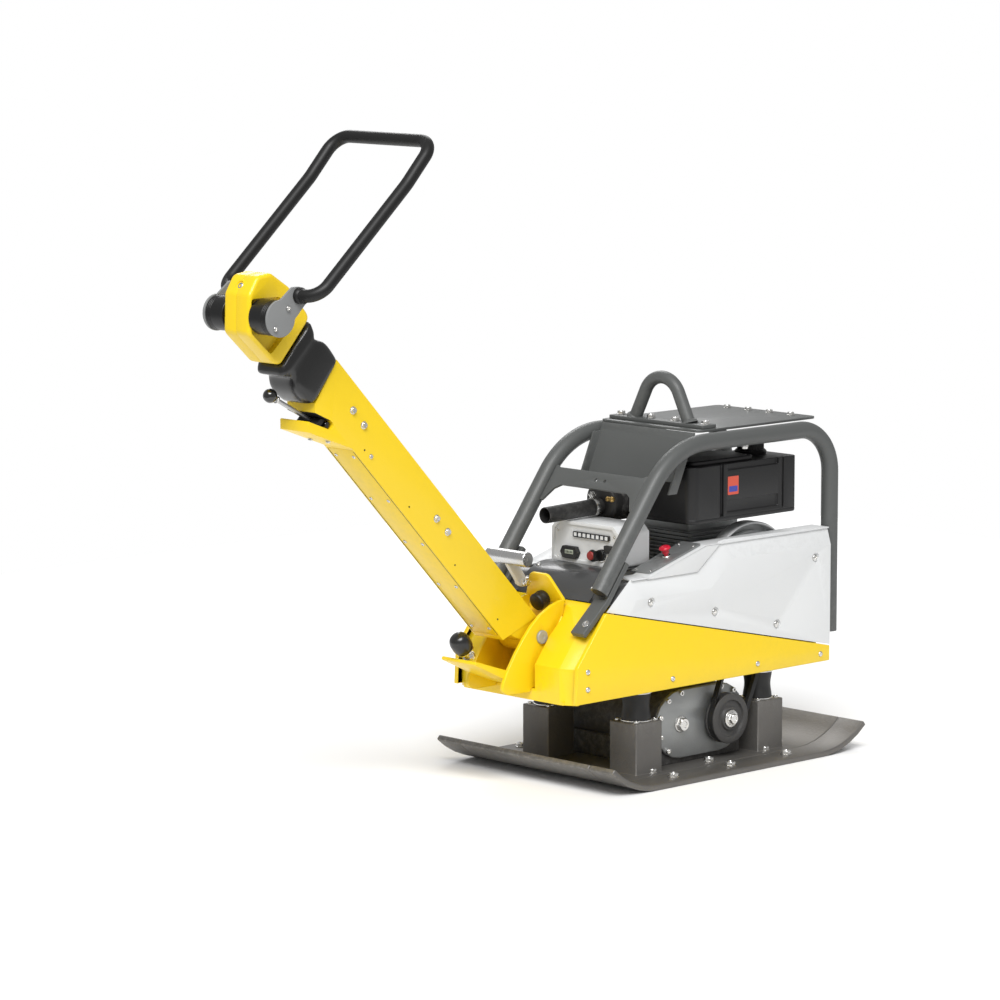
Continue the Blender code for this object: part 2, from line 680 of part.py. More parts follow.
def build_stops():
    """Rubber buffers that end the pole's swing."""
    normal = Vector((-math.sin(STOP_TILT), 0, -math.cos(STOP_TILT)))
    root = Vector((-377, 0, 440)) + normal * GAP
    puck = [(0, 0), (20, 0), (22, 8), (22, 26), (18, 30), (0, 31)]
    finish("upper_buffer", turned(puck, root, normal, 20), RUBBER, smooth=40)
    up = Vector((-0.62, 0, 0.78))
    foot = Vector((-626, 0, 325.5))
    dome = [(0, 0), (9, 0), (9, 22), (21, 23), (25, 32), (25, 54), (19, 66), (9, 71), (0, 72)]
    finish("lower_buffer", turned(dome, foot, up, 20), RUBBER, smooth=40)


def build_catch_bar():
    """Steel catch bar across the machine on a swinging triangular bracket."""
    body("pole_catch", (-408, 50, 476))
    round_bar = rod((-452, -20, 541), (-452, 112, 541), 18, 20)
    bar = finish("pole_catch", round_bar, STEEL, on="pole_catch", smooth=40)
    web = [(-470, 537), (-434, 537), (-396, 482), (-402, 466), (-418, 466)]
    pieces = [slab(web, 40, 52), rod((-408, 30, 476), (-408, 62, 476), 9, 16)]
    combine(bar, "UNION", pieces, on="pole_catch")


def build_pole():
    """Box-section pole: closed top and sides, an open underside with its own cover plate."""
    body("guide_pole", (PIVOT[0], 0, PIVOT[1]))
    outline = [(34, 32.5), (80, -78), (772, -78), (898, -140), (914, -125), (914, -95), (930, -80),
               (952, 32.5)]
    pole = finish("guide_pole", pole_slab(outline, -POLE_HALF, POLE_HALF), YELLOW, on="guide_pole")
    lug = arc(0, 0, 38, 110, 300, 12) + [(90, -62), (90, 32)]
    neck = [(925, -48), (925, 0), (1000, 0), (1000, -48)]
    combine(pole, "UNION", [pole_slab(lug, -46, 46), pole_slab(neck, -24, 24)], on="guide_pole")
    cavity = [(95, 28), (95, -90), (765, -90), (765, 28)]
    pin_seat = arc(861, -86, 10.5, 60, 270, 6)
    notch = [(940, -99), (914, -95), (866, -76)] + pin_seat + [(912, -121), (940, -127)]
    pieces = [pole_slab(cavity, -43.5, 43.5), pole_slab(notch, -60, 60),
              rod((PIVOT[0], -60, PIVOT[1]), (PIVOT[0], 60, PIVOT[1]), 15.3, 24)]
    combine(pole, "DIFFERENCE", pieces, on="guide_pole")
    cover = [(96, -78), (764, -78), (764, -74), (96, -74)]
    finish("pole_cover", pole_slab(cover, -43.2, 43.2), YELLOW, on="guide_pole")


def build_height_lever():
    """Release lever under the pole's head end, with its ball knob."""
    pin = pole_3d(861, -86)
    body("height_lever", pin, "guide_pole")
    ball = pole_3d(1009, -133)
    toward = (ball - pin).normalized()
    lever = finish("lever_rod", rod(pin, ball - toward * 10, 5, 12), STEEL, on="height_lever", smooth=40)
    cross = rod((pin.x, -40, pin.z), (pin.x, 40, pin.z), 7.5, 16)
    combine(lever, "UNION", [cross], on="height_lever")
    socket = [(0, -16.5), (8, -14), (14, -8), (16.5, 0), (14, 8), (8, 14), (5.3, 15.4), (5.3, 6), (0, 6)]
    profile = [(r, -h) for r, h in socket]
    finish("ball_knob", turned(profile, ball, toward, 16), GLOSS, on="height_lever", smooth=60)


def build_boot():
    """Rubber boot between pole and head, a closed sleeve round the neck."""
    rows = [((1071, 47), (1063.3, -85), 43), ((1040, 33), (1044, -101), 50), ((1030, 26), (1022, -84), 49),
            ((1008, 39), (1005, -88), 55), ((985, 38), (985, -98), 57), ((950, 36), (928, -92), 56)]
    data = bmesh.new()
    rings = []
    for top, low, half in rows:
        corners = ((-half, top), (half, top), (half, low), (-half, low))
        rings.append([data.verts.new(pole_3d(s, t, y)) for y, (s, t) in corners])
    for one, two in zip(rings, rings[1:]):
        for i in range(4):
            j = (i + 1) % 4
            data.faces.new((one[i], one[j], two[j], two[i]))
    data.faces.new(rings[0])
    data.faces.new(rings[-1])
    boot = finish("boot", data, RUBBER, on="guide_pole")
    bore = pole_slab([(900, -52), (900, 4), (1100, 4), (1100, -52)], -28, 28)
    pole_end = [(880, -100), (880, 40), (953, 40), (952.5, 33), (930.5, -80.5), (928, -94), (928, -100)]
    over_pole = pole_slab(pole_end, -70, 70)
    combine(boot, "DIFFERENCE", [bore, over_pole], on="guide_pole")


def build_head():
    """Two cast shells parted down the middle, with the control hub through them."""
    outline = [(-1316, 1273), (-1341, 1233), (-1345, 1145), (-1269, 1075), (-1248, 1070), (-1158, 1171),
               (-1221, 1244), (-1275, 1279)]
    window = [(-1254, 1226), (-1337, 1226), (-1337, 1144), (-1279, 1094), (-1203, 1165), (-1214, 1195)]
    x, z = HUB
    for side, sign in (("right", -1), ("left", 1)):
        half_head = slab(outline, sign * 0.2, sign * HEAD_HALF)
        shell = finish("head_shell_" + side, half_head, YELLOW, on="guide_pole")
        pieces = [slab(window, sign * 24, sign * 60), rod((x, sign * -3, z), (x, sign * 60, z), 30.5, 32)]
        combine(shell, "DIFFERENCE", pieces, on="guide_pole")


def build_control_bow():
    """Hub through the head, an arm plate at each end and the bent bow between them."""
    x, z = HUB
    body("control_bow", (x, 0, z), "guide_pole")
    hub = [(0, -104), (40, -104), (40, -45), (30, -45), (30, 45), (40, 45), (40, 104), (0, 104)]
    finish("control_hub", turned(hub, (x, 0, z), (0, 1, 0), 32), BLACK, on="control_bow", smooth=40)
    start = (-1252, -116, 1231)
    corners = [start, (-1240, -BOW_Y, 1231), (-975, -BOW_Y, 1468), (-890, -BOW_Y, 1560)]
    mirrored = [(a, -b, c) for a, b, c in reversed(corners)]
    path = [Vector(corners[0])] + bend_path(corners + mirrored, 38, 5)[1:-1] + [Vector(mirrored[-1])]
    bow = finish("control_bow", tube(path, BOW_R, 12), GLOSS, on="control_bow", smooth=40)
    plate = arc(x, z, 42, 90, 355, 20) + [(-1232, 1211), (-1231, 1232), (-1250, 1251), (-1272, 1251)]
    pieces = [slab(plate, sign * (104 + GAP), sign * 110) for sign in (-1, 1)]
    pieces += [rod((-1252, sign * 106, 1231), (-1251, sign * 124, 1231), 13, 12) for sign in (-1, 1)]
    combine(bow, "UNION", pieces, on="control_bow")


def build_all():
    """Build every sub-assembly from the ground up."""
    clear_scene()
    build_sole()
    build_rubber_mounts()
    build_exciter_housing()
    build_exciter_shafts()
    build_belt_drive()
    build_upper_frame()
    build_side_covers()
    build_rear_cover()
    build_control_box()
    build_stop_knob()
    build_engine()
    build_fuel_tank()
    build_guard_tubes()
    build_guard_feet()
    build_crossbar()
    build_guard_panels()
    build_lifting_eye()
    build_pole_bracket()
    build_stops()
    build_catch_bar()
    build_pole()
    build_height_lever()
    build_boot()
    build_head()
    build_control_bow()


build_all()
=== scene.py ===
"""Looks of the reversible vibratory plate: finishes, fine meshes, studio and camera.

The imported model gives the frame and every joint. Each class below builds one
sub-assembly of the machine round that frame, in metres, +X forward and +Z up.
"""
from __future__ import annotations

import logging
import math
from dataclasses import dataclass, field
from enum import Enum
from typing import Callable, Iterable, Sequence

import bmesh
import bpy
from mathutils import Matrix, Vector

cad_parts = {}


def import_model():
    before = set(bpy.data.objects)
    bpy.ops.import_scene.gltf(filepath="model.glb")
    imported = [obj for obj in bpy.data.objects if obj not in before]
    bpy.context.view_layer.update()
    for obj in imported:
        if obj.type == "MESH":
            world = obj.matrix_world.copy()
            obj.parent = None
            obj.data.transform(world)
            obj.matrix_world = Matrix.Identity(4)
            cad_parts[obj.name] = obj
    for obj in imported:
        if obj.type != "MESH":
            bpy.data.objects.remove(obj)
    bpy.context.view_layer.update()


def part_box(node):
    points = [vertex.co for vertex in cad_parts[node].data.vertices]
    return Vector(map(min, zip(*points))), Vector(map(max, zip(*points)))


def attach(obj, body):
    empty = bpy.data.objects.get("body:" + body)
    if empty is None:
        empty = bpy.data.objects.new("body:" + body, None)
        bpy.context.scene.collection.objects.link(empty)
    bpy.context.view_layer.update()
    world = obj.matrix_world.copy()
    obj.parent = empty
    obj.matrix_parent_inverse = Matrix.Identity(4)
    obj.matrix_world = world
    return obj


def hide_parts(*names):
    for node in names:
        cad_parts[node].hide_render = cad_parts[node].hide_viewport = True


LOG = logging.getLogger("plate")
MM = 0.001

Point = Sequence[float]
Outline = list[tuple[float, float]]
Solid = bmesh.types.BMesh
Item = bpy.types.Object
Socket = bpy.types.NodeSocket
Tree = bpy.types.NodeTree

X_AXIS, Y_AXIS, Z_AXIS = Vector((1, 0, 0)), Vector((0, 1, 0)), Vector((0, 0, 1))


class Side(Enum):
    """Side of the machine, with the sign of its Y."""

    RIGHT = -1
    LEFT = 1

    @property
    def tag(self) -> str:
        """Lower-case name used in piece names."""
        return self.name.lower()


class Body(str, Enum):
    """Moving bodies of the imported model."""

    MACHINE = "machine"
    POLE = "guide_pole"
    BOW = "control_bow"
    LEVER = "height_lever"
    CATCH = "pole_catch"
    BUTTON = "start_button"
    KEY = "ignition_key"
    STOP = "stop_knob"
    CAP = "fuel_cap"
    CRANK = "crankshaft"
    FRONT = "exciter_front"
    REAR = "exciter_rear"


# ---------------- shaders
GroupMaker = Callable[[str], Tree]


def built_once(name: str) -> Callable[[GroupMaker], Callable[[], Tree]]:
    """Make the builder of a node group run on first use only.

    Args:
        name: the group's name, which the builder is given.

    Returns:
        The decorator for the builder.
    """
    def wrap(build: GroupMaker) -> Callable[[], Tree]:
        """Wrap one builder."""
        def shared() -> Tree:
            """Return the group, built if it isn't there yet."""
            return bpy.data.node_groups.get(name) or build(name)
        return shared
    return wrap


class ShaderTree:
    """A shader node group under construction, with named inputs and outputs."""

    def __init__(self, name: str, inputs: dict[str, float | tuple], outputs: Sequence[str]) -> None:
        """Start a group.

        Args:
            name: the group's name.
            inputs: each input's default; three numbers make a vector, four a colour.
            outputs: the outputs' names; Color is a colour, any other a number.
        """
        kinds = {1: "NodeSocketFloat", 3: "NodeSocketVector", 4: "NodeSocketColor"}
        self.tree = bpy.data.node_groups.new(name, "ShaderNodeTree")
        for label, value in inputs.items():
            kind = kinds[len(value) if isinstance(value, tuple) else 1]
            socket = self.tree.interface.new_socket(label, in_out="INPUT", socket_type=kind)
            socket.default_value = value
        for label in outputs:
            kind = kinds[4 if label == "Color" else 1]
            self.tree.interface.new_socket(label, in_out="OUTPUT", socket_type=kind)
        self.inputs = self.tree.nodes.new("NodeGroupInput").outputs
        self.outputs = self.tree.nodes.new("NodeGroupOutput").inputs

    def feed(self, node: bpy.types.Node, **feeds: Socket | float) -> bpy.types.Node:
        """Link or set a node's inputs.

        Args:
            node: the node.
            feeds: a socket or a plain value for each input, with _ for a space in its name.

        Returns:
            The same node.
        """
        for label, value in feeds.items():
            into = node.inputs[label.replace("_", " ")]
            if isinstance(value, Socket):
                self.tree.links.new(value, into)
            else:
                into.default_value = value
        return node

    def math(self, operation: str, *feeds: Socket, clamp: bool = False) -> Socket:
        """Combine sockets in a Math node and return its result."""
        made = self.tree.nodes.new("ShaderNodeMath")
        made.operation, made.use_clamp = operation, clamp
        for socket, into in zip(feeds, made.inputs):
            self.tree.links.new(socket, into)
        return made.outputs[0]

    def place(self) -> Socket:
        """The object coordinates."""
        return self.tree.nodes.new("ShaderNodeTexCoord").outputs["Object"]

    def noise(self, **feeds: Socket | float) -> Socket:
        """Add a noise texture and return its value."""
        return self.feed(self.tree.nodes.new("ShaderNodeTexNoise"), **feeds).outputs["Fac"]

    def window(self, value: Socket, low: float, high: float) -> Socket:
        """Stretch a range of values to 0 to 1."""
        node = self.tree.nodes.new("ShaderNodeMapRange")
        return self.feed(node, Value=value, From_Min=low, From_Max=high).outputs["Result"]

    def put(self, **sockets: Socket) -> Tree:
        """Send sockets to the outputs and return the group."""
        for label, socket in sockets.items():
            self.tree.links.new(socket, self.outputs[label])
        return self.tree


@built_once("surface_mottle")
def mottle_group(name: str) -> Tree:
    """Colour that drifts a little over a surface, with matching roughness.

    Args:
        name: the group's name.

    Returns:
        Group with inputs Color, Shade, Scale, Amount, Roughness, Spread
        and outputs Color and Roughness.
    """
    work = ShaderTree(name, {"Color": (0.5, 0.5, 0.5, 1), "Shade": (0.4, 0.4, 0.4, 1), "Scale": 8.0,
                             "Amount": 0.3, "Roughness": 0.4, "Spread": 0.1}, ("Color", "Roughness"))
    source = work.inputs
    cloud = work.noise(Vector=work.place(), Scale=source["Scale"], Detail=6, Roughness=0.6)
    mix = work.tree.nodes.new("ShaderNodeMix")
    mix.data_type = "RGBA"
    work.feed(mix, Factor=work.math("MULTIPLY", cloud, source["Amount"]), A=source["Color"],
              B=source["Shade"])
    rough = work.math("MULTIPLY_ADD", cloud, source["Spread"], source["Roughness"])
    return work.put(Color=mix.outputs["Result"], Roughness=rough)


@built_once("fine_grain")
def grain_group(name: str) -> Tree:
    """Fine relief such as orange peel, casting grain or moulded texture.

    Args:
        name: the group's name.

    Returns:
        Group with inputs Scale, Stretch and Coarse and output Height.
    """
    work = ShaderTree(name, {"Scale": 900.0, "Stretch": (1, 1, 1), "Coarse": 0.3}, ("Height",))
    stretch = work.tree.nodes.new("ShaderNodeVectorMath")
    stretch.operation = "MULTIPLY"
    work.tree.links.new(work.place(), stretch.inputs[0])
    work.tree.links.new(work.inputs["Stretch"], stretch.inputs[1])
    fine = work.noise(Vector=stretch.outputs[0], Scale=work.inputs["Scale"], Detail=2)
    slow = work.noise(Vector=stretch.outputs[0], Scale=45, Detail=3)
    return work.put(Height=work.math("MULTIPLY_ADD", slow, work.inputs["Coarse"], fine))


@built_once("edge_wear")
def wear_group(name: str) -> Tree:
    """Mask of rubbed convex edges and a few scattered scuffs.

    Args:
        name: the group's name.

    Returns:
        Group with inputs Edge and Scuff and output Mask.
    """
    work = ShaderTree(name, {"Edge": 0.5, "Scuff": 0.2}, ("Mask",))
    shape = work.tree.nodes.new("ShaderNodeNewGeometry")
    edge = work.window(shape.outputs["Pointiness"], 0.53, 0.62)
    cloud = work.noise(Vector=work.place(), Scale=60, Detail=8, Roughness=0.75)
    rubbed = work.math("MULTIPLY", edge, work.window(cloud, 0.45, 0.6))
    scaled = work.math("MULTIPLY", rubbed, work.inputs["Edge"])
    scratch = work.window(cloud, 0.70, 0.74)
    return work.put(Mask=work.math("MULTIPLY_ADD", scratch, work.inputs["Scuff"], scaled, clamp=True))


@dataclass(frozen=True)
class Finish:
    """One finish of the machine: a Principled material with its surface detail.

    Attributes:
        name: material name.
        slot: the record's slot it stands for; not used.
        color: linear base colour.
        shade: colour the mottle drifts to.
        roughness: lowest roughness.
        spread: how much the mottle adds to the roughness.
        metallic: metallic value.
        coat: clear-coat weight.
        grain_scale: scale of the fine relief.
        grain_depth: bump distance of the relief, in metres.
        stretch: stretch of the relief along X, Y, Z, for brushed metal.
        mottle: scale and amount of the colour drift.
        worn: colour under rubbed edges.
        wear: strengths of edge wear and scuffs.
    """

    name: str
    slot: str
    color: tuple[float, float, float]
    shade: tuple[float, float, float]
    roughness: float
    spread: float = 0.12
    metallic: float = 0.0
    coat: float = 0.0
    grain_scale: float = 700.0
    grain_depth: float = 0.00015
    stretch: tuple[float, float, float] = (1.0, 1.0, 1.0)
    mottle: tuple[float, float] = (7.0, 0.35)
    worn: tuple[float, float, float] = (0.35, 0.34, 0.32)
    wear: tuple[float, float] = (0.0, 0.0)

    def material(self) -> bpy.types.Material:
        """Return the finish's material, made on first use."""
        found = bpy.data.materials.get(self.name)
        if found:
            return found
        made = bpy.data.materials.new(self.name)
        made.use_nodes = True
        nodes, links = made.node_tree.nodes, made.node_tree.links
        shader = nodes["Principled BSDF"]
        shader.inputs["Metallic"].default_value = self.metallic
        shader.inputs["Coat Weight"].default_value = self.coat
        shader.inputs["Coat Roughness"].default_value = 0.08
        mottle = nodes.new("ShaderNodeGroup")
        mottle.node_tree = mottle_group()
        mottle.inputs["Color"].default_value = (*self.color, 1)
        mottle.inputs["Shade"].default_value = (*self.shade, 1)
        mottle.inputs["Scale"].default_value, mottle.inputs["Amount"].default_value = self.mottle
        mottle.inputs["Roughness"].default_value = self.roughness
        mottle.inputs["Spread"].default_value = self.spread
        color = mottle.outputs["Color"]
        if max(self.wear) > 0:
            wear = nodes.new("ShaderNodeGroup")
            wear.node_tree = wear_group()
            wear.inputs["Edge"].default_value, wear.inputs["Scuff"].default_value = self.wear
            mix = nodes.new("ShaderNodeMix")
            mix.data_type = "RGBA"
            mix.inputs["B"].default_value = (*self.worn, 1)
            links.new(wear.outputs["Mask"], mix.inputs["Factor"])
            links.new(color, mix.inputs["A"])
            color = mix.outputs["Result"]
        links.new(color, shader.inputs["Base Color"])
        links.new(mottle.outputs["Roughness"], shader.inputs["Roughness"])
        grain = nodes.new("ShaderNodeGroup")
        grain.node_tree = grain_group()
        grain.inputs["Scale"].default_value = self.grain_scale
        grain.inputs["Stretch"].default_value = self.stretch
        bump = nodes.new("ShaderNodeBump")
        bump.inputs["Strength"].default_value = 0.6
        bump.inputs["Distance"].default_value = self.grain_depth
        links.new(grain.outputs["Height"], bump.inputs["Height"])
        links.new(bump.outputs["Normal"], shader.inputs["Normal"])
        return made


YELLOW = Finish("yellow_powder_coat", "yellow_paint", (0.9, 0.63, 0.006), (0.84, 0.56, 0.004), 0.33,
                coat=0.15, grain_scale=420, worn=(0.55, 0.42, 0.05), wear=(0.35, 0.05))
GREY = Finish("grey_powder_coat", "grey_paint", (0.088, 0.092, 0.09), (0.07, 0.074, 0.072), 0.42,
              coat=0.05, grain_scale=500, worn=(0.3, 0.3, 0.29), wear=(0.3, 0.04))
SILVER = Finish("silver_paint", "silver_panel", (0.72, 0.73, 0.73), (0.62, 0.63, 0.64), 0.36,
                coat=0.1, grain_scale=600, worn=(0.5, 0.5, 0.5), wear=(0.2, 0.03))
COVER = Finish("dark_cover_paint", "cover_grey", (0.055, 0.056, 0.057), (0.04, 0.041, 0.042), 0.24,
               coat=0.3, grain_scale=260, grain_depth=0.0003)
ZINC = Finish("bright_zinc", "zinc_steel", (0.74, 0.73, 0.71), (0.55, 0.55, 0.54), 0.2, metallic=1.0,
              grain_scale=900, mottle=(40.0, 0.5))
CHROME = Finish("lever_steel", "zinc_steel", (0.5, 0.5, 0.5), (0.36, 0.36, 0.36), 0.3, spread=0.05,
                metallic=0.7, grain_depth=0.00003)
PIN = Finish("pin_steel", "zinc_steel", (0.4, 0.4, 0.39), (0.3, 0.3, 0.29), 0.42, metallic=0.25,
             grain_scale=300)
BRUSHED = Finish("brushed_bar", "zinc_steel", (0.7, 0.7, 0.69), (0.5, 0.5, 0.5), 0.22, metallic=1.0,
                 grain_scale=260, stretch=(8.0, 0.4, 8.0), mottle=(25.0, 0.5))
IRON = Finish("cast_iron_paint", "cast_iron", (0.05, 0.05, 0.05), (0.09, 0.085, 0.08), 0.5, metallic=0.3,
              grain_scale=180, grain_depth=0.0008, mottle=(16.0, 0.7), worn=(0.3, 0.29, 0.28),
              wear=(0.6, 0.15))
SOLE = Finish("sole_steel", "cast_iron", (0.12, 0.115, 0.11), (0.2, 0.19, 0.175), 0.42, metallic=0.6,
              grain_scale=150, grain_depth=0.0009, mottle=(9.0, 0.9), worn=(0.45, 0.44, 0.42),
              wear=(0.9, 0.3))
ALLOY = Finish("die_cast_alloy", "engine_alloy", (0.42, 0.43, 0.43), (0.3, 0.31, 0.31), 0.45, metallic=0.8,
               grain_scale=240, grain_depth=0.0006, mottle=(14.0, 0.7))
TANK = Finish("tank_plastic", "black_plastic", (0.008, 0.008, 0.0085), (0.014, 0.014, 0.0145), 0.34,
              grain_scale=800, grain_depth=0.0002)
PLASTIC = Finish("black_plastic", "black_plastic", (0.006, 0.006, 0.006), (0.01, 0.01, 0.01), 0.38,
                 grain_scale=900)
HEATPROOF = Finish("heatproof_black", "black_metal", (0.014, 0.014, 0.014), (0.03, 0.027, 0.025), 0.4,
                   grain_scale=300, grain_depth=0.0004, wear=(0.2, 0.05))
HUB_BLACK = Finish("anodised_black", "black_metal", (0.012, 0.012, 0.0125), (0.02, 0.02, 0.02), 0.32,
                   grain_scale=200, stretch=(6.0, 0.3, 6.0), metallic=0.4)
ARM_GREY = Finish("arm_plate_grey", "black_enamel", (0.23, 0.235, 0.235), (0.19, 0.195, 0.195), 0.4,
                  grain_scale=500)
ENAMEL = Finish("black_enamel", "black_enamel", (0.006, 0.006, 0.006), (0.01, 0.01, 0.01), 0.12, spread=0.06,
                coat=0.6, grain_scale=350)
KNOB = Finish("knob_black", "gloss_black", (0.005, 0.005, 0.005), (0.008, 0.008, 0.008), 0.07, spread=0.04,
              coat=0.8, grain_depth=0.00004)
RUBBER = Finish("moulded_rubber", "black_rubber", (0.007, 0.007, 0.007), (0.012, 0.012, 0.012), 0.42,
                grain_scale=600, grain_depth=0.0003)
BOOT = Finish("boot_rubber", "black_rubber", (0.009, 0.009, 0.009), (0.013, 0.013, 0.013), 0.24, spread=0.1,
              coat=0.25, grain_scale=350, grain_depth=0.0002)
RED = Finish("red_knob", "red_plastic", (0.6, 0.006, 0.03), (0.5, 0.004, 0.02), 0.25, coat=0.3)
DULL_RED = Finish("red_button", "red_plastic", (0.3, 0.03, 0.025), (0.22, 0.02, 0.02), 0.4)
BRASS = Finish("brass_fitting", "zinc_steel", (0.7, 0.46, 0.16), (0.5, 0.32, 0.1), 0.25, metallic=1.0)
LAMP = Finish("lamp_lens", "black_plastic", (0.75, 0.76, 0.76), (0.5, 0.52, 0.52), 0.2, coat=0.5)
SCREEN = Finish("display_green", "black_plastic", (0.42, 0.46, 0.36), (0.34, 0.38, 0.3), 0.25, coat=0.4)
PATCH_RED = Finish("patch_orange", "black_plastic", (0.62, 0.09, 0.05), (0.55, 0.07, 0.04), 0.4)
PATCH_BLUE = Finish("patch_blue", "black_plastic", (0.05, 0.06, 0.35), (0.04, 0.05, 0.3), 0.4)


# ---------------- mesh tools
def vec(x: float, y: float, z: float) -> Vector:
    """A point in metres from millimetres."""
    return Vector((x, y, z)) * MM


def in_metres(points: Iterable[Point]) -> Outline:
    """Flat points in metres from millimetres."""
    return [(a * MM, b * MM) for a, b in points]


def rectangle(x0: float, y0: float, x1: float, y1: float) -> Outline:
    """The four corners of an upright rectangle."""
    return [(x0, y0), (x1, y0), (x1, y1), (x0, y1)]


def arc(cx: float, cz: float, radius: float, start: float, end: float, steps: int) -> Outline:
    """Points along a circular arc.

    Args:
        cx, cz: the centre.
        radius: the radius, in the centre's unit.
        start, end: angles in degrees.
        steps: how many chords.

    Returns:
        The points, ends included.
    """
    turn = [math.radians(start + (end - start) * i / steps) for i in range(steps + 1)]
    return [(cx + radius * math.cos(a), cz + radius * math.sin(a)) for a in turn]


def round_outline(outline: Sequence[Point], radius: float, steps: int = 4) -> Outline:
    """Round every corner of a closed flat outline, by less where a side is short.

    Args:
        outline: the corners, in order.
        radius: the wanted radius.
        steps: chords in each corner.

    Returns:
        The rounded outline.
    """
    points = [Vector(p) for p in outline]
    result: Outline = []
    for i, here in enumerate(points):
        before, after = points[i - 1], points[(i + 1) % len(points)]
        into, out = (here - before), (after - here)
        turn = into.angle(out)
        if turn < 1e-3:
            result.append((here.x, here.y))
            continue
        reach = min(radius * math.tan(turn / 2), into.length * 0.45, out.length * 0.45)
        start, end = here - into.normalized() * reach, here + out.normalized() * reach
        for k in range(steps + 1):
            t = k / steps
            spot = start * (1 - t) ** 2 + here * 2 * t * (1 - t) + end * t ** 2
            result.append((spot.x, spot.y))
    return result


def axes_of(direction: Vector) -> tuple[Vector, Vector, Vector]:
    """A unit direction with two unit vectors square to it."""
    along = direction.normalized()
    helper = Z_AXIS if abs(along.z) < 0.9 else X_AXIS
    u = along.cross(helper).normalized()
    return along, u, along.cross(u)


def turns(sides: int) -> Outline:
    """Cosine and sine of the corners of a regular polygon."""
    return [(math.cos(a), math.sin(a)) for a in (2 * math.pi * i / sides for i in range(sides))]


def bridge(data: Solid, rings: Sequence[Sequence[bmesh.types.BMVert]]) -> None:
    """Join neighbouring rings with faces; a ring of one vertex is a tip."""
    sides = max(len(ring) for ring in rings)
    for one, two in zip(rings, rings[1:]):
        for i in range(sides):
            j = (i + 1) % sides
            quad = dict.fromkeys((one[i % len(one)], one[j % len(one)], two[j % len(two)], two[i % len(two)]))
            if len(quad) > 2:
                data.faces.new(list(quad))


def lathe(profile: Sequence[Point], origin: Vector, direction: Vector, sides: int = 48) -> Solid:
    """Turn a profile of (radius, height) about an axis.

    Args:
        profile: points in metres; one that starts and ends on the axis is closed there,
            any other profile closes on itself.
        origin: the axis's zero height.
        direction: the axis.
        sides: facets round the axis.

    Returns:
        The closed mesh.
    """
    along, u, v = axes_of(direction)
    data = bmesh.new()
    rings = []
    for radius, height in profile:
        centre = origin + along * height
        if radius < 1e-7:
            rings.append([data.verts.new(centre)])
            continue
        rings.append([data.verts.new(centre + (u * c + v * d) * radius) for c, d in turns(sides)])
    bridge(data, rings + rings[:1] if len(rings[0]) > 1 else rings)
    return data


def drum(radius: float, low: float, high: float, place: Vector, axis: Vector,
         sides: int = 32) -> Solid:
    """Plain cylinder.

    Args:
        radius: its radius, in metres.
        low, high: its two ends along the axis, in metres from the place.
        place: the axis's zero height.
        axis: its direction.
        sides: facets round it.

    Returns:
        The closed mesh.
    """
    return lathe([(0, low), (radius, low), (radius, high), (0, high)], place, axis, sides)


def sweep(path: Sequence[Vector], radii: Sequence[float], sides: int) -> Solid:
    """Sweep a circle along a path.

    Args:
        path: the centre line.
        radii: the radius at each of its points.
        sides: facets round the path.

    Returns:
        The closed mesh.
    """
    side = axes_of(path[1] - path[0])[1]
    rings = []
    for i, (point, radius) in enumerate(zip(path, radii)):
        tangent = (path[min(i + 1, len(path) - 1)] - path[max(i - 1, 0)]).normalized()
        side = (side - tangent * side.dot(tangent)).normalized()
        up = tangent.cross(side)
        rings.append([point + (side * c + up * d) * radius for c, d in turns(sides)])
    return loft(rings)


def prism(outline: Sequence[Point], origin: Vector, u: Vector, v: Vector, along: Vector) -> Solid:
    """Extrude a flat outline.

    Args:
        outline: corners along the axes u and v.
        origin: where the outline's zero lies.
        u, v: the outline's axes.
        along: the extrusion.

    Returns:
        The closed mesh.
    """
    data = bmesh.new()
    near = [data.verts.new(origin + u * a + v * b) for a, b in outline]
    far = [data.verts.new(vert.co + along) for vert in near]
    data.faces.new(near)
    data.faces.new(far)
    for i in range(len(outline)):
        j = (i + 1) % len(outline)
        data.faces.new((near[i], near[j], far[j], far[i]))
    return data


def side_slab(outline: Sequence[Point], low: float, high: float) -> Solid:
    """Extrude an outline in X, Z between two Y planes, all in metres."""
    return prism(outline, Vector((0, low, 0)), X_AXIS, Z_AXIS, Vector((0, high - low, 0)))


def side_sheet(outline: Sequence[Point], sign: int, near: float, far: float) -> Solid:
    """Sheet on one side of the machine.

    Args:
        outline: its outline in X, Z, in millimetres.
        sign: the sign of that side's Y.
        near, far: distances of its faces from the middle plane, in millimetres.

    Returns:
        The closed mesh.
    """
    low, high = sorted((sign * near, sign * far))
    return side_slab(in_metres(outline), low * MM, high * MM)


def shrunk(outline: Sequence[Point], depth: float) -> Outline:
    """A smooth closed outline drawn in by a distance, whichever way round it runs."""
    area = sum(a[0] * b[1] - b[0] * a[1] for a, b in zip(outline, list(outline[1:]) + [outline[0]]))
    turn = math.copysign(1, area)
    result = []
    for i, (x, z) in enumerate(outline):
        before, after = outline[i - 1], outline[(i + 1) % len(outline)]
        run = Vector((after[0] - before[0], after[1] - before[1])).normalized()
        result.append((x - turn * run.y * depth, z + turn * run.x * depth))
    return result


def loft(rings: Sequence[Sequence[Vector]]) -> Solid:
    """Closed body through a row of rings with the same number of points."""
    data = bmesh.new()
    loops = [[data.verts.new(p) for p in ring] for ring in rings]
    bridge(data, loops)
    data.faces.new(loops[0])
    data.faces.new(loops[-1])
    bmesh.ops.recalc_face_normals(data, faces=data.faces)
    return data


def block(low: Point, high: Point) -> Solid:
    """Rectangular solid between two corners, in metres."""
    outline = rectangle(low[0], low[2], high[0], high[2])
    return side_slab(outline, low[1], high[1])


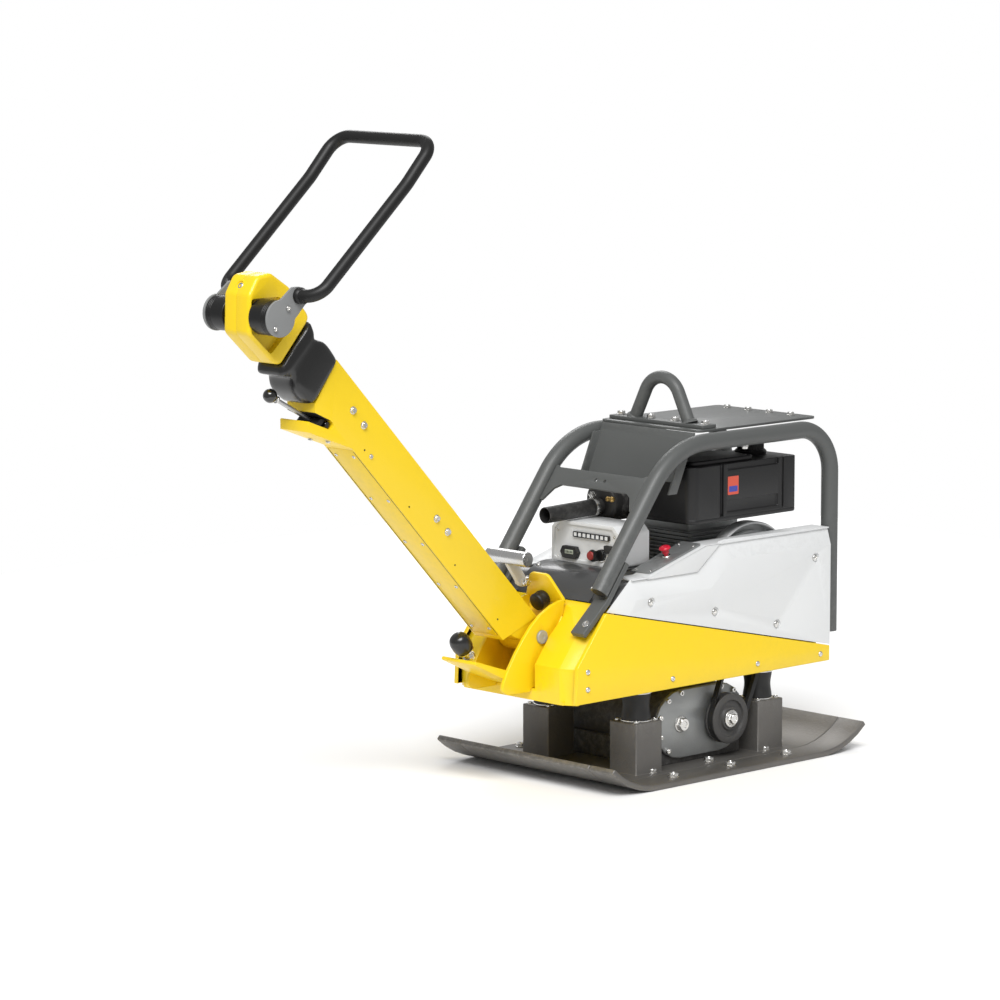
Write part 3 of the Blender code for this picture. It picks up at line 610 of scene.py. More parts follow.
def merged(parts: Iterable[Solid]) -> Solid:
    """Collect several meshes in one; the others are freed."""
    total = bmesh.new()
    for part in parts:
        holder = bpy.data.meshes.new("holder")
        part.to_mesh(holder)
        part.free()
        total.from_mesh(holder)
        bpy.data.meshes.remove(holder)
    return total


@dataclass
class Edge:
    """How a piece's edges are eased.

    Attributes:
        width: bevel width in metres, 0 for none.
        segments: bevel segments.
        angle: edges sharper than this many degrees are bevelled and kept crisp.
    """

    width: float = 0.0
    segments: int = 2
    angle: float = 32.0


def piece(name: str, data: Solid, finish: Finish, body: Body = Body.MACHINE, edge: Edge = Edge(),
          replaces: Sequence[str] = (), smooth: float = 35.0, subdivide: int = 0) -> Item:
    """Make a finished piece of the machine from mesh data.

    Args:
        name: the piece's name.
        data: its mesh, in world metres; it is freed.
        finish: its finish.
        body: the body it rides on.
        edge: how its edges are eased.
        replaces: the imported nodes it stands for.
        smooth: faces that meet at less than this many degrees are shaded as one.
        subdivide: levels of subdivision surface.

    Returns:
        The object, riding on its body.
    """
    bmesh.ops.remove_doubles(data, verts=data.verts, dist=1e-6)
    bmesh.ops.recalc_face_normals(data, faces=data.faces)
    mesh = bpy.data.meshes.new(name)
    data.to_mesh(mesh)
    data.free()
    item = bpy.data.objects.new(name, mesh)
    bpy.context.scene.collection.objects.link(item)
    mesh.materials.append(finish.material())
    if edge.width:
        bevel = item.modifiers.new("eased_edges", "BEVEL")
        bevel.width, bevel.segments = edge.width, edge.segments
        bevel.limit_method, bevel.angle_limit = "ANGLE", math.radians(edge.angle)
    if subdivide:
        surface = item.modifiers.new("smooth_surface", "SUBSURF")
        surface.levels = surface.render_levels = subdivide
    if item.modifiers:
        apply_modifiers(item)
    return settled(item, body, replaces, smooth)


def settled(item: Item, body: Body, replaces: Sequence[str],
            smooth: float) -> Item:
    """Shade an object and set it riding on its body.

    Args:
        item: the object, with its final mesh.
        body, replaces, smooth: as in piece().

    Returns:
        The same object.
    """
    item.data.shade_smooth()
    item.data.set_sharp_from_angle(angle=math.radians(smooth))
    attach(item, body.value)
    if replaces:
        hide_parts(*replaces)
    LOG.info("%s: %d faces", item.name, len(item.data.polygons))
    return item


def apply_modifiers(item: Item) -> None:
    """Put an object's evaluated mesh in place of its own and drop its modifiers."""
    bpy.context.view_layer.update()
    graph = bpy.context.evaluated_depsgraph_get()
    mesh = bpy.data.meshes.new_from_object(item.evaluated_get(graph))
    old = item.data
    item.modifiers.clear()
    item.data = mesh
    mesh.name = item.name
    bpy.data.meshes.remove(old)


def copy_node(node: str) -> Solid:
    """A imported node's mesh with its loose triangles joined and its flat faces whole."""
    data = bmesh.new()
    data.from_mesh(bpy.data.objects[node].data)
    bmesh.ops.remove_doubles(data, verts=data.verts, dist=2e-5)
    bmesh.ops.dissolve_limit(data, angle_limit=math.radians(1.0), verts=data.verts, edges=data.edges)
    return data


def ease(node: str, finish: Finish, body: Body, width: float = 0.0015, segments: int = 2,
         angle: float = 32.0) -> Item:
    """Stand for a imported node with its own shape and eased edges.

    Args:
        node: the node's name.
        finish: its finish.
        body: the body that it rides on.
        width: bevel width in metres.
        segments: bevel segments.
        angle: edges sharper than this are bevelled.

    Returns:
        The new piece.
    """
    return piece(node + "_skin", copy_node(node), finish, body, Edge(width, segments, angle), (node,))


def cut(data: Solid, tools: Sequence[Solid], join: bool = False) -> Solid:
    """Cut solids out of a solid, or join them to it.

    Args:
        data: the solid.
        tools: the other solids; all are freed.
        join: join instead of cut.

    Returns:
        The resulting mesh.
    """
    items = []
    for i, part in enumerate([data, *tools]):
        bmesh.ops.recalc_face_normals(part, faces=part.faces)
        mesh = bpy.data.meshes.new(f"cut_{i}")
        part.to_mesh(mesh)
        part.free()
        item = bpy.data.objects.new(f"cut_{i}", mesh)
        bpy.context.scene.collection.objects.link(item)
        items.append(item)
    for tool in items[1:]:
        change = items[0].modifiers.new("cut", "BOOLEAN")
        change.operation = "UNION" if join else "DIFFERENCE"
        change.solver, change.object = "EXACT", tool
    bpy.context.view_layer.update()
    graph = bpy.context.evaluated_depsgraph_get()
    result = bmesh.new()
    solid = bpy.data.meshes.new_from_object(items[0].evaluated_get(graph))
    result.from_mesh(solid)
    bpy.data.meshes.remove(solid)
    for item in items:
        mesh = item.data
        bpy.data.objects.remove(item)
        bpy.data.meshes.remove(mesh)
    return result


# ---------------- geometry nodes
class NodeTree:
    """A geometry node group under construction, with named inputs."""

    def __init__(self, name: str) -> None:
        """Start an empty group.

        Args:
            name: the group's name.
        """
        self.tree = bpy.data.node_groups.new(name, "GeometryNodeTree")
        self.tree.interface.new_socket("Geometry", in_out="INPUT", socket_type="NodeSocketGeometry")
        self.tree.interface.new_socket("Geometry", in_out="OUTPUT", socket_type="NodeSocketGeometry")
        self.source = self.tree.nodes.new("NodeGroupInput")
        self.sink = self.tree.nodes.new("NodeGroupOutput")

    def input(self, label: str, kind: str) -> Socket:
        """Add a named input and return its socket inside the group."""
        self.tree.interface.new_socket(label, in_out="INPUT", socket_type=kind)
        return self.source.outputs[label]

    def node(self, kind: str, **settings: str) -> bpy.types.Node:
        """Add a node and set its options."""
        made = self.tree.nodes.new(kind)
        for label, value in settings.items():
            setattr(made, label, value)
        return made

    def link(self, out: Socket, into: Socket) -> None:
        """Connect two sockets."""
        self.tree.links.new(out, into)

    def attribute(self, label: str, kind: str) -> Socket:
        """Read a named attribute of the points."""
        reader = self.node("GeometryNodeInputNamedAttribute", data_type=kind)
        reader.inputs["Name"].default_value = label
        return reader.outputs["Attribute"]

    def finish(self, geometry: Socket, paint: Socket) -> Tree:
        """End the tree in Realize Instances and Set Material.

        Args:
            geometry: the geometry to put out.
            paint: the material input's socket.

        Returns:
            The finished group.
        """
        real = self.node("GeometryNodeRealizeInstances")
        dress = self.node("GeometryNodeSetMaterial")
        self.link(geometry, real.inputs["Geometry"])
        self.link(real.outputs["Geometry"], dress.inputs["Geometry"])
        self.link(paint, dress.inputs["Material"])
        self.link(dress.outputs["Geometry"], self.sink.inputs["Geometry"])
        return self.tree


@built_once("fastener_field")
def fastener_tree(name: str) -> Tree:
    """Group that sets one fastener on every point, along its "axis" and at its "size"."""
    work = NodeTree(name)
    head = work.input("Fastener", "NodeSocketObject")
    paint = work.input("Finish", "NodeSocketMaterial")
    info = work.node("GeometryNodeObjectInfo")
    place = work.node("GeometryNodeInstanceOnPoints")
    turn = work.node("FunctionNodeAlignRotationToVector", axis="Z")
    work.link(head, info.inputs["Object"])
    work.link(work.attribute("axis", "FLOAT_VECTOR"), turn.inputs["Vector"])
    work.link(work.source.outputs["Geometry"], place.inputs["Points"])
    work.link(info.outputs["Geometry"], place.inputs["Instance"])
    work.link(turn.outputs["Rotation"], place.inputs["Rotation"])
    work.link(work.attribute("size", "FLOAT"), place.inputs["Scale"])
    return work.finish(place.outputs["Instances"], paint)


@built_once("block_row")
def row_tree(name: str) -> Tree:
    """Group that repeats one block in a straight row."""
    work = NodeTree(name)
    count = work.input("Count", "NodeSocketInt")
    start = work.input("Start", "NodeSocketVector")
    step = work.input("Step", "NodeSocketVector")
    size = work.input("Size", "NodeSocketVector")
    paint = work.input("Finish", "NodeSocketMaterial")
    line = work.node("GeometryNodeMeshLine", mode="OFFSET")
    cube = work.node("GeometryNodeMeshCube")
    place = work.node("GeometryNodeInstanceOnPoints")
    work.link(count, line.inputs["Count"])
    work.link(start, line.inputs["Start Location"])
    work.link(step, line.inputs["Offset"])
    work.link(size, cube.inputs["Size"])
    work.link(line.outputs["Mesh"], place.inputs["Points"])
    work.link(cube.outputs["Mesh"], place.inputs["Instance"])
    return work.finish(place.outputs["Instances"], paint)


@built_once("bent_tube")
def bent_tube_tree(name: str) -> Tree:
    """Group that bends a round bar at each corner of a line by the corner's "bend"."""
    work = NodeTree(name)
    radius = work.input("Tube Radius", "NodeSocketFloat")
    sides = work.input("Sides", "NodeSocketInt")
    steps = work.input("Bend Steps", "NodeSocketInt")
    paint = work.input("Finish", "NodeSocketMaterial")
    line = work.node("GeometryNodeMeshToCurve")
    bend = work.node("GeometryNodeFilletCurve", mode="POLY")
    ring = work.node("GeometryNodeCurvePrimitiveCircle", mode="RADIUS")
    skin = work.node("GeometryNodeCurveToMesh")
    skin.inputs["Fill Caps"].default_value = True
    work.link(work.source.outputs["Geometry"], line.inputs["Mesh"])
    work.link(line.outputs["Curve"], bend.inputs["Curve"])
    work.link(steps, bend.inputs["Count"])
    work.link(work.attribute("bend", "FLOAT"), bend.inputs["Radius"])
    work.link(sides, ring.inputs["Resolution"])
    work.link(radius, ring.inputs["Radius"])
    work.link(bend.outputs["Curve"], skin.inputs["Curve"])
    work.link(ring.outputs["Curve"], skin.inputs["Profile Curve"])
    return work.finish(skin.outputs["Mesh"], paint)


def grown(name: str, tree: Tree, base: bpy.types.Mesh, **values: object) -> Item:
    """Run a geometry node group on a mesh and keep the result as a plain mesh.

    Args:
        name: the object's name.
        tree: the group.
        base: the mesh it starts from.
        values: the group's inputs, with _ for a space in their names.

    Returns:
        The object with the grown mesh and no modifier.
    """
    item = bpy.data.objects.new(name, base)
    bpy.context.scene.collection.objects.link(item)
    grow = item.modifiers.new("grow", "NODES")
    grow.node_group = tree
    for socket in tree.interface.items_tree:
        key = socket.name.replace(" ", "_")
        if socket.in_out == "INPUT" and key in values:
            grow[socket.identifier] = values[key]
    apply_modifiers(item)
    return item


def dressed(item: Item, body: Body,
            replaces: Sequence[str] = ()) -> Item:
    """Shade a grown mesh, put its normals outward and set it riding.

    Args:
        item: the grown object.
        body, replaces: as in piece().

    Returns:
        The same object.
    """
    data = bmesh.new()
    data.from_mesh(item.data)
    bmesh.ops.recalc_face_normals(data, faces=data.faces)
    data.to_mesh(item.data)
    data.free()
    return settled(item, body, replaces, 35.0)


def bent_tube(name: str, corners: Sequence[tuple[Vector, float]], radius: float, finish: Finish,
              body: Body = Body.MACHINE, replaces: Sequence[str] = (), sides: int = 36,
              steps: int = 14) -> Item:
    """A tube bent at its corners.

    Args:
        name: the piece's name.
        corners: each corner with its bend radius, in metres.
        radius: the tube's radius.
        finish, body, replaces: as in piece().
        sides: facets round the tube.
        steps: chords in each bend.

    Returns:
        The tube.
    """
    line = bpy.data.meshes.new(name)
    line.from_pydata([tuple(c) for c, _ in corners], [(i, i + 1) for i in range(len(corners) - 1)], [])
    bends = line.attributes.new("bend", "FLOAT", "POINT")
    bends.data.foreach_set("value", [b for _, b in corners])
    item = grown(name, bent_tube_tree(), line, Tube_Radius=radius, Sides=sides, Bend_Steps=steps,
                 Finish=finish.material())
    return dressed(item, body, replaces)


def block_row(name: str, count: int, start: Vector, step: Vector, size: Vector, finish: Finish,
              body: Body = Body.MACHINE) -> Item:
    """A straight row of equal blocks.

    Args:
        name: the piece's name.
        count: how many.
        start, step, size: middle of the first block, offset to the next, and side lengths.
        finish, body: as in piece().

    Returns:
        The row as one mesh.
    """
    item = grown(name, row_tree(), bpy.data.meshes.new(name), Count=count, Start=start, Step=step, Size=size,
                 Finish=finish.material())
    return dressed(item, body)


# ---------------- fasteners
HEX_FLAT = math.cos(math.pi / 6)


class Fastener(Enum):
    """Heads of the machine's fasteners, as rings of (outline, radius, height) in head radii."""

    HEX = (("round", 1.22, -0.3), ("round", 1.22, 0.16), ("round", 1.16, 0.2), ("hex", 1.0, 0.2),
           ("hex", 1.0, 0.78),
           ("round", 0.84, 0.88), ("round", 0.5, 0.88), ("round", 0.46, 0.8), ("round", 0.0, 0.8))
    SOCKET = (("round", 1.0, -0.2), ("round", 1.0, 0.9), ("round", 0.9, 1.0), ("hex", 0.62, 1.0),
              ("hex", 0.6, 0.45), ("round", 0.0, 0.4))
    BUTTON = (("round", 1.0, -0.2), ("round", 1.0, 0.1), ("round", 0.9, 0.32), ("round", 0.66, 0.48),
              ("hex", 0.42, 0.5), ("hex", 0.4, 0.2), ("round", 0.0, 0.16))
    RIVET = (("round", 1.0, -0.2), ("round", 1.0, 0.12), ("round", 0.85, 0.36), ("round", 0.5, 0.5),
             ("round", 0.0, 0.52))
    NUT = (("round", 1.3, -0.2), ("round", 1.3, 0.18), ("hex", 1.0, 0.2), ("hex", 1.0, 0.86),
           ("round", 0.84, 0.98),
           ("round", 0.6, 0.98), ("round", 0.56, 1.4), ("round", 0.48, 1.5), ("round", 0.0, 1.5))

    def mesh(self) -> bpy.types.Mesh:
        """Return the head's mesh of unit size, standing along +Z."""
        data = bmesh.new()
        rings = []
        for outline, radius, height in self.value:
            ring = [(0, 0)] if radius == 0 else turns(24)
            if outline == "hex":
                angles = [math.atan2(d, c) % (math.pi / 3) - math.pi / 6 for c, d in ring]
                ring = [(c * HEX_FLAT / math.cos(a), d * HEX_FLAT / math.cos(a)) for (c, d),
                        a in zip(ring, angles)]
            rings.append([data.verts.new((radius * c, radius * d, height)) for c, d in ring])
        bridge(data, rings)
        data.faces.new(list(reversed(rings[0])))
        bmesh.ops.recalc_face_normals(data, faces=data.faces)
        mesh = bpy.data.meshes.new("unit_" + self.name.lower())
        data.to_mesh(mesh)
        data.free()
        return mesh


@dataclass
class FastenerBin:
    """Every bolt, screw and rivet of the machine, set out in fields by body, head and finish."""

    fields: dict[tuple[Body, Fastener, str], list[tuple[Vector, Vector, float]]] = field(default_factory=dict)
    finishes: dict[str, Finish] = field(default_factory=dict)

    def add(self, place: Vector, axis: Point, size: float, head: Fastener = Fastener.HEX,
            finish: Finish = ZINC,
            body: Body = Body.MACHINE) -> None:
        """Add one fastener.

        Args:
            place: its seat, in metres.
            axis: the way its head points.
            size: head radius in millimetres.
            head: the kind of head.
            finish: its finish.
            body: the body it rides on.
        """
        self.finishes[finish.name] = finish
        row = self.fields.setdefault((body, head, finish.name), [])
        row.append((Vector(place), Vector(axis).normalized(), size * MM))

    def build(self) -> None:
        """Turn each field into one mesh."""
        for (body, head, label), rows in self.fields.items():
            unit = bpy.data.objects.new("unit_head", head.mesh())
            bpy.context.scene.collection.objects.link(unit)
            name = f"{body.value}_{head.name.lower()}_{label}"
            points = bpy.data.meshes.new(name)
            points.from_pydata([tuple(p) for p, _, _ in rows], [], [])
            axis = points.attributes.new("axis", "FLOAT_VECTOR", "POINT")
            axis.data.foreach_set("vector", [c for _, a, _ in rows for c in a])
            size = points.attributes.new("size", "FLOAT", "POINT")
            size.data.foreach_set("value", [s for _, _, s in rows])
            finish = self.finishes[label]
            item = grown(name, fastener_tree(), points, Fastener=unit, Finish=finish.material())
            mesh = unit.data
            bpy.data.objects.remove(unit)
            bpy.data.meshes.remove(mesh)
            dressed(item, body)


BOLTS = FastenerBin()


# ---------------- lower mass
@dataclass
class LowerMass:
    """Sole, extension plates, exciter and the rubber mounts on it."""

    mount_x: float = 215
    mount_y: float = 150
    mount_low: float = 140.3
    mount_high: float = 211.7
    mount_r: float = 0.036
    bolt_x: tuple[float, ...] = (-200, 0, 200)
    bolt_y: tuple[float, ...] = (262, 190)
    plate_top: float = 14
    pad_top: float = 139.6
    shaft_x: float = 70
    shaft_z: float = 112
    rim: float = 76
    foot_z: float = 45

    def build(self) -> None:
        """Build every piece of the lower mass."""
        ease("base_plate", SOLE, Body.MACHINE, 0.003, 3, 25)
        for side in Side:
            ease("extension_plate_" + side.tag, SOLE, Body.MACHINE, 0.003, 3, 25)
            for x in self.bolt_x:
                for y in self.bolt_y:
                    BOLTS.add(vec(x, side.value * y, self.plate_top), Z_AXIS, 12)
        self.mounts()
        self.exciter()

    def mounts(self) -> None:
        """Waisted rubber mounts between two vulcanised steel plates, with their nuts."""
        low, high = self.mount_low, self.mount_high
        middle = (low + high) / 2
        waist = [(self.mount_r - 0.0035 * math.cos((h - middle) / (high - low) * math.pi * 1.1) ** 2, h * MM)
                 for h in [low + 5 + (high - low - 10) * i / 12 for i in range(13)]]
        for end, x in (("front", self.mount_x), ("rear", -self.mount_x)):
            for side in Side:
                spot = vec(x, side.value * self.mount_y, 0)
                node = f"rubber_mount_{end}_{side.tag}"
                foot, top = (low + 2) * MM, (high - 2) * MM
                profile = [(0, foot), (self.mount_r, foot), *waist, (self.mount_r, top), (0, top)]
                piece(node + "_skin", lathe(profile, spot, Z_AXIS, 48), RUBBER, replaces=(node,))
                plates = [drum(0.0395, a * MM, (a + 3.5) * MM, spot,
                                Z_AXIS, 48) for a in (low, high - 3.5)]
                piece(node + "_plates", merged(plates), ZINC, Body.MACHINE, Edge(0.0006))
                for dx in (-32, 32):
                    for dy in (-32, 32):
                        BOLTS.add(spot + vec(dx, dy, self.pad_top), Z_AXIS, 6)

    def exciter(self) -> None:
        """Exciter housing with its cover, bolts, bearing caps, shafts, gears and belt drive."""
        ease("exciter_housing", IRON, Body.MACHINE, 0.0025, 2, 40)
        ease("exciter_cover", ALLOY, Body.MACHINE, 0.002, 2, 40)
        x, z = self.shaft_x, self.shaft_z
        for centre, start, end in ((x, -90, 90), (-x, 90, 270)):
            for px, pz in arc(centre, z, self.rim, start, end, 5):
                if pz > self.foot_z:
                    BOLTS.add(vec(px, -160, pz), (0, -1, 0), 6.5, Fastener.SOCKET)
                    BOLTS.add(vec(px, 150, pz), (0, 1, 0), 6.5)
        BOLTS.add(vec(-x, -160, z), (0, -1, 0), 17)
        for spot in (x, -x):
            cap = [(0, 0.15), (0.05, 0.15), (0.05, 0.157), (0.036, 0.1585), (0.034, 0.1565), (0, 0.1565)]
            piece(f"bearing_cap_{'front' if spot > 0 else 'rear'}",
                  lathe(cap, vec(spot, 0, z), Y_AXIS, 48), ALLOY, Body.MACHINE, Edge(0.0008))
        for body in (Body.FRONT, Body.REAR):
            ease("exciter_shaft_" + body.name.lower(), ZINC, body, 0.001, 2, 35)
        for body in (Body.FRONT, Body.REAR):
            ease("timing_gear_" + body.name.lower(), ZINC, body, 0.0005, 1, 25)
        BeltDrive().build()


@dataclass
class BeltDrive:
    """V-belt from the flywheel's clutch to the exciter."""

    y: float = -183
    crank: tuple[float, float] = (200, 430)
    driven: tuple[float, float] = (70, 112)

    def build(self) -> None:
        """Build both pulleys and the belt."""
        groove = [(22.4, -14), (60, -14), (62, -13), (62, -9.5), (61, -9), (49.6, -8), (49.6, 8), (61, 9),
                  (62, 9.5), (62, 13), (60, 14), (46, 14), (44, 8), (30, 8), (28, 13.9), (22.4, 13.9)]
        ring = [(r * MM, -h * MM) for r, h in groove]
        piece("exciter_pulley_skin", lathe(ring, vec(self.driven[0], self.y, self.driven[1]), Y_AXIS, 64),
              IRON, Body.FRONT, Edge(0.0006), ("exciter_pulley",))
        wheel = [(0, -13), (12, -13), (14, -14), (30, -14), (33, -9), (62, -9), (66, -14), (72, -14),
                 (74, -13),
                 (74, -9.5), (73, -9), (59.6, -8), (59.6, 8), (73, 9), (74, 9.5), (74, 14), (24, 14),
                 (24, 40),
                 (120, 44), (126, 44), (128, 46), (128, 60), (126, 62), (110, 61), (106, 54), (60, 54),
                 (54, 66), (24, 66), (24, 76), (0, 76)]
        place = vec(self.crank[0], self.y, self.crank[1])
        piece("clutch_pulley_skin", lathe(in_metres(wheel), place, Y_AXIS, 72), ALLOY,
              Body.CRANK, Edge(0.0006), ("clutch_pulley",))
        for i in range(6):
            angle = math.radians(60 * i)
            spot = place + Vector((0.022 * math.cos(angle), -0.014, 0.022 * math.sin(angle)))
            BOLTS.add(spot, (0, -1, 0), 4.5, Fastener.SOCKET, ZINC, Body.CRANK)
        BOLTS.add(place + Vector((0, -0.013, 0)), (0, -1, 0), 9, body=Body.CRANK)
        BOLTS.add(vec(self.driven[0], -199, self.driven[1]), (0, -1, 0), 13, body=Body.FRONT)
        self.belt()

    def belt(self) -> None:
        """Belt with a trapezoidal section, round the two pulleys."""
        lean = math.degrees(math.atan2(self.crank[1] - self.driven[1], self.crank[0] - self.driven[0]))

        def loop(low: float, high: float) -> Outline:
            """Outline at one depth of the groove."""
            return arc(*self.driven, low, lean + 92, lean + 268, 40) + arc(*self.crank, high, lean - 92,
                                                                           lean + 92, 40)

        levels = [(loop(60, 70), 8), (loop(50, 60), 5.5)]
        data = bmesh.new()
        rings = []
        for outline, half in levels:
            for y in (-half, half):
                rings.append([data.verts.new(vec(px, self.y + y, pz)) for px, pz in outline])
        order = [rings[0], rings[1], rings[3], rings[2]]
        bridge(data, order + order[:1])
        piece("drive_belt_skin", data, RUBBER, replaces=("drive_belt",))


# ---------------- covers
@dataclass
class Covers:
    """Tray weldment, side covers, hoods and the rolled rear cover."""

    outer: float = 210
    crease_in: float = 13

    def build(self) -> None:
        """Build the sheet-metal body round the engine."""
        ease("upper_frame", YELLOW, Body.MACHINE, 0.0018, 2, 20)
        for side in Side:
            ease("side_cover_" + side.tag, YELLOW, Body.MACHINE, 0.003, 3, 25)
            self.hood(side)
            for x, z in ((-440, 250), (-440, 292), (-150, 240), (150, 240), (380, 236)):
                BOLTS.add(vec(x, side.value * self.outer, z), (0, side.value, 0), 7, Fastener.BUTTON)
        self.rear()

    def hood(self, side: Side) -> None:
        """Hood with its folded upper band, deck and sloping shoulder.

        Args:
            side: which side.
        """
        sign = side.value
        out, band, inner = sign * self.outer, sign * (self.outer - self.crease_in), sign * 196
        top = [(-364, 424.7), (-284, 495), (-59, 495), (21, 555), (39, 558), (415, 552)]
        crease = [(-300, 411), (-275, 446), (-18, 445), (58, 509), (66, 511), (415, 508)]
        data = bmesh.new()

        def row(points: Outline, y: float) -> list[bmesh.types.BMVert]:
            """Vertices of one line of the sheet."""
            return [data.verts.new(vec(px, y, pz)) for px, pz in points]

        upper, fold = row(top, band), row(crease, out)
        back = row(top, inner)
        foot, corner = (data.verts.new(vec(415, y, 256.8)) for y in (inner, out))
        for i in range(len(top) - 1):
            data.faces.new((upper[i], upper[i + 1], fold[i + 1], fold[i]))
            data.faces.new((upper[i], back[i], back[i + 1], upper[i + 1]))
        data.faces.new([corner] + fold)
        data.faces.new((upper[-1], back[-1], foot, corner, fold[-1]))
        data.faces.new((upper[0], fold[0], corner, foot, back[0]))
        data.faces.new([foot] + back[::-1])
        screws = [(-225, 434), (-2, 386), (220, 330), (360, 480)]
        pockets = [drum(0.0125, -0.004, 0.004, vec(x, out, z),
                         Y_AXIS, 32) for x, z in screws]
        shell = cut(data, pockets)
        deck = [(-284, 495), (-225, 495), (-28, 552), (415, 552), (415, 549), (-27, 549), (-224, 492),
                (-284, 492)]
        cheek = [(-232, 490), (-59, 490), (21, 550), (-28, 550)]
        folds = [side_sheet(deck, sign, 146, 203), side_sheet(cheek, sign, 195, 203)]
        name = "hood_" + side.tag
        piece(name + "_skin", merged([shell, *folds]), SILVER, Body.MACHINE, Edge(0.0016, 3, 12),
              (name,), smooth=30)
        for x, z in screws:
            BOLTS.add(vec(x, out - sign * 3.9, z), (0, sign, 0), 8.5, Fastener.BUTTON)

    def rear(self) -> None:
        """Rolled rear cover with its side wings and edge screws."""
        roll = arc(-250, 405, 100, 152, 90, 30)
        inner = arc(-250, 405, 96, 90, 152, 30)
        outline = [(-352, 440)] + roll + [(-130, 505), (-130, 501)] + inner + [(-348, 440)]
        data = side_slab(in_metres(outline), -0.124, 0.124)
        wing_out = arc(-262, 400, 91, 152, 105, 20)
        wing_in = arc(-262, 400, 87, 105, 152, 20)
        wing = [(-352, 440)] + wing_out + wing_in + [(-348, 440)]
        wings = [side_sheet(wing, sign, 118, 196) for sign in (-1, 1)]
        piece("rear_cover_skin", merged([data, *wings]), COVER, Body.MACHINE, Edge(0.001), ("rear_cover",),
              smooth=25)
        for sign in (-1, 1):
            for angle in (140, 112):
                axis = Vector((math.cos(math.radians(angle)), 0, math.sin(math.radians(angle))))
                BOLTS.add(vec(-250, sign * 112, 405) + axis * 0.1, axis, 5.5, Fastener.BUTTON)


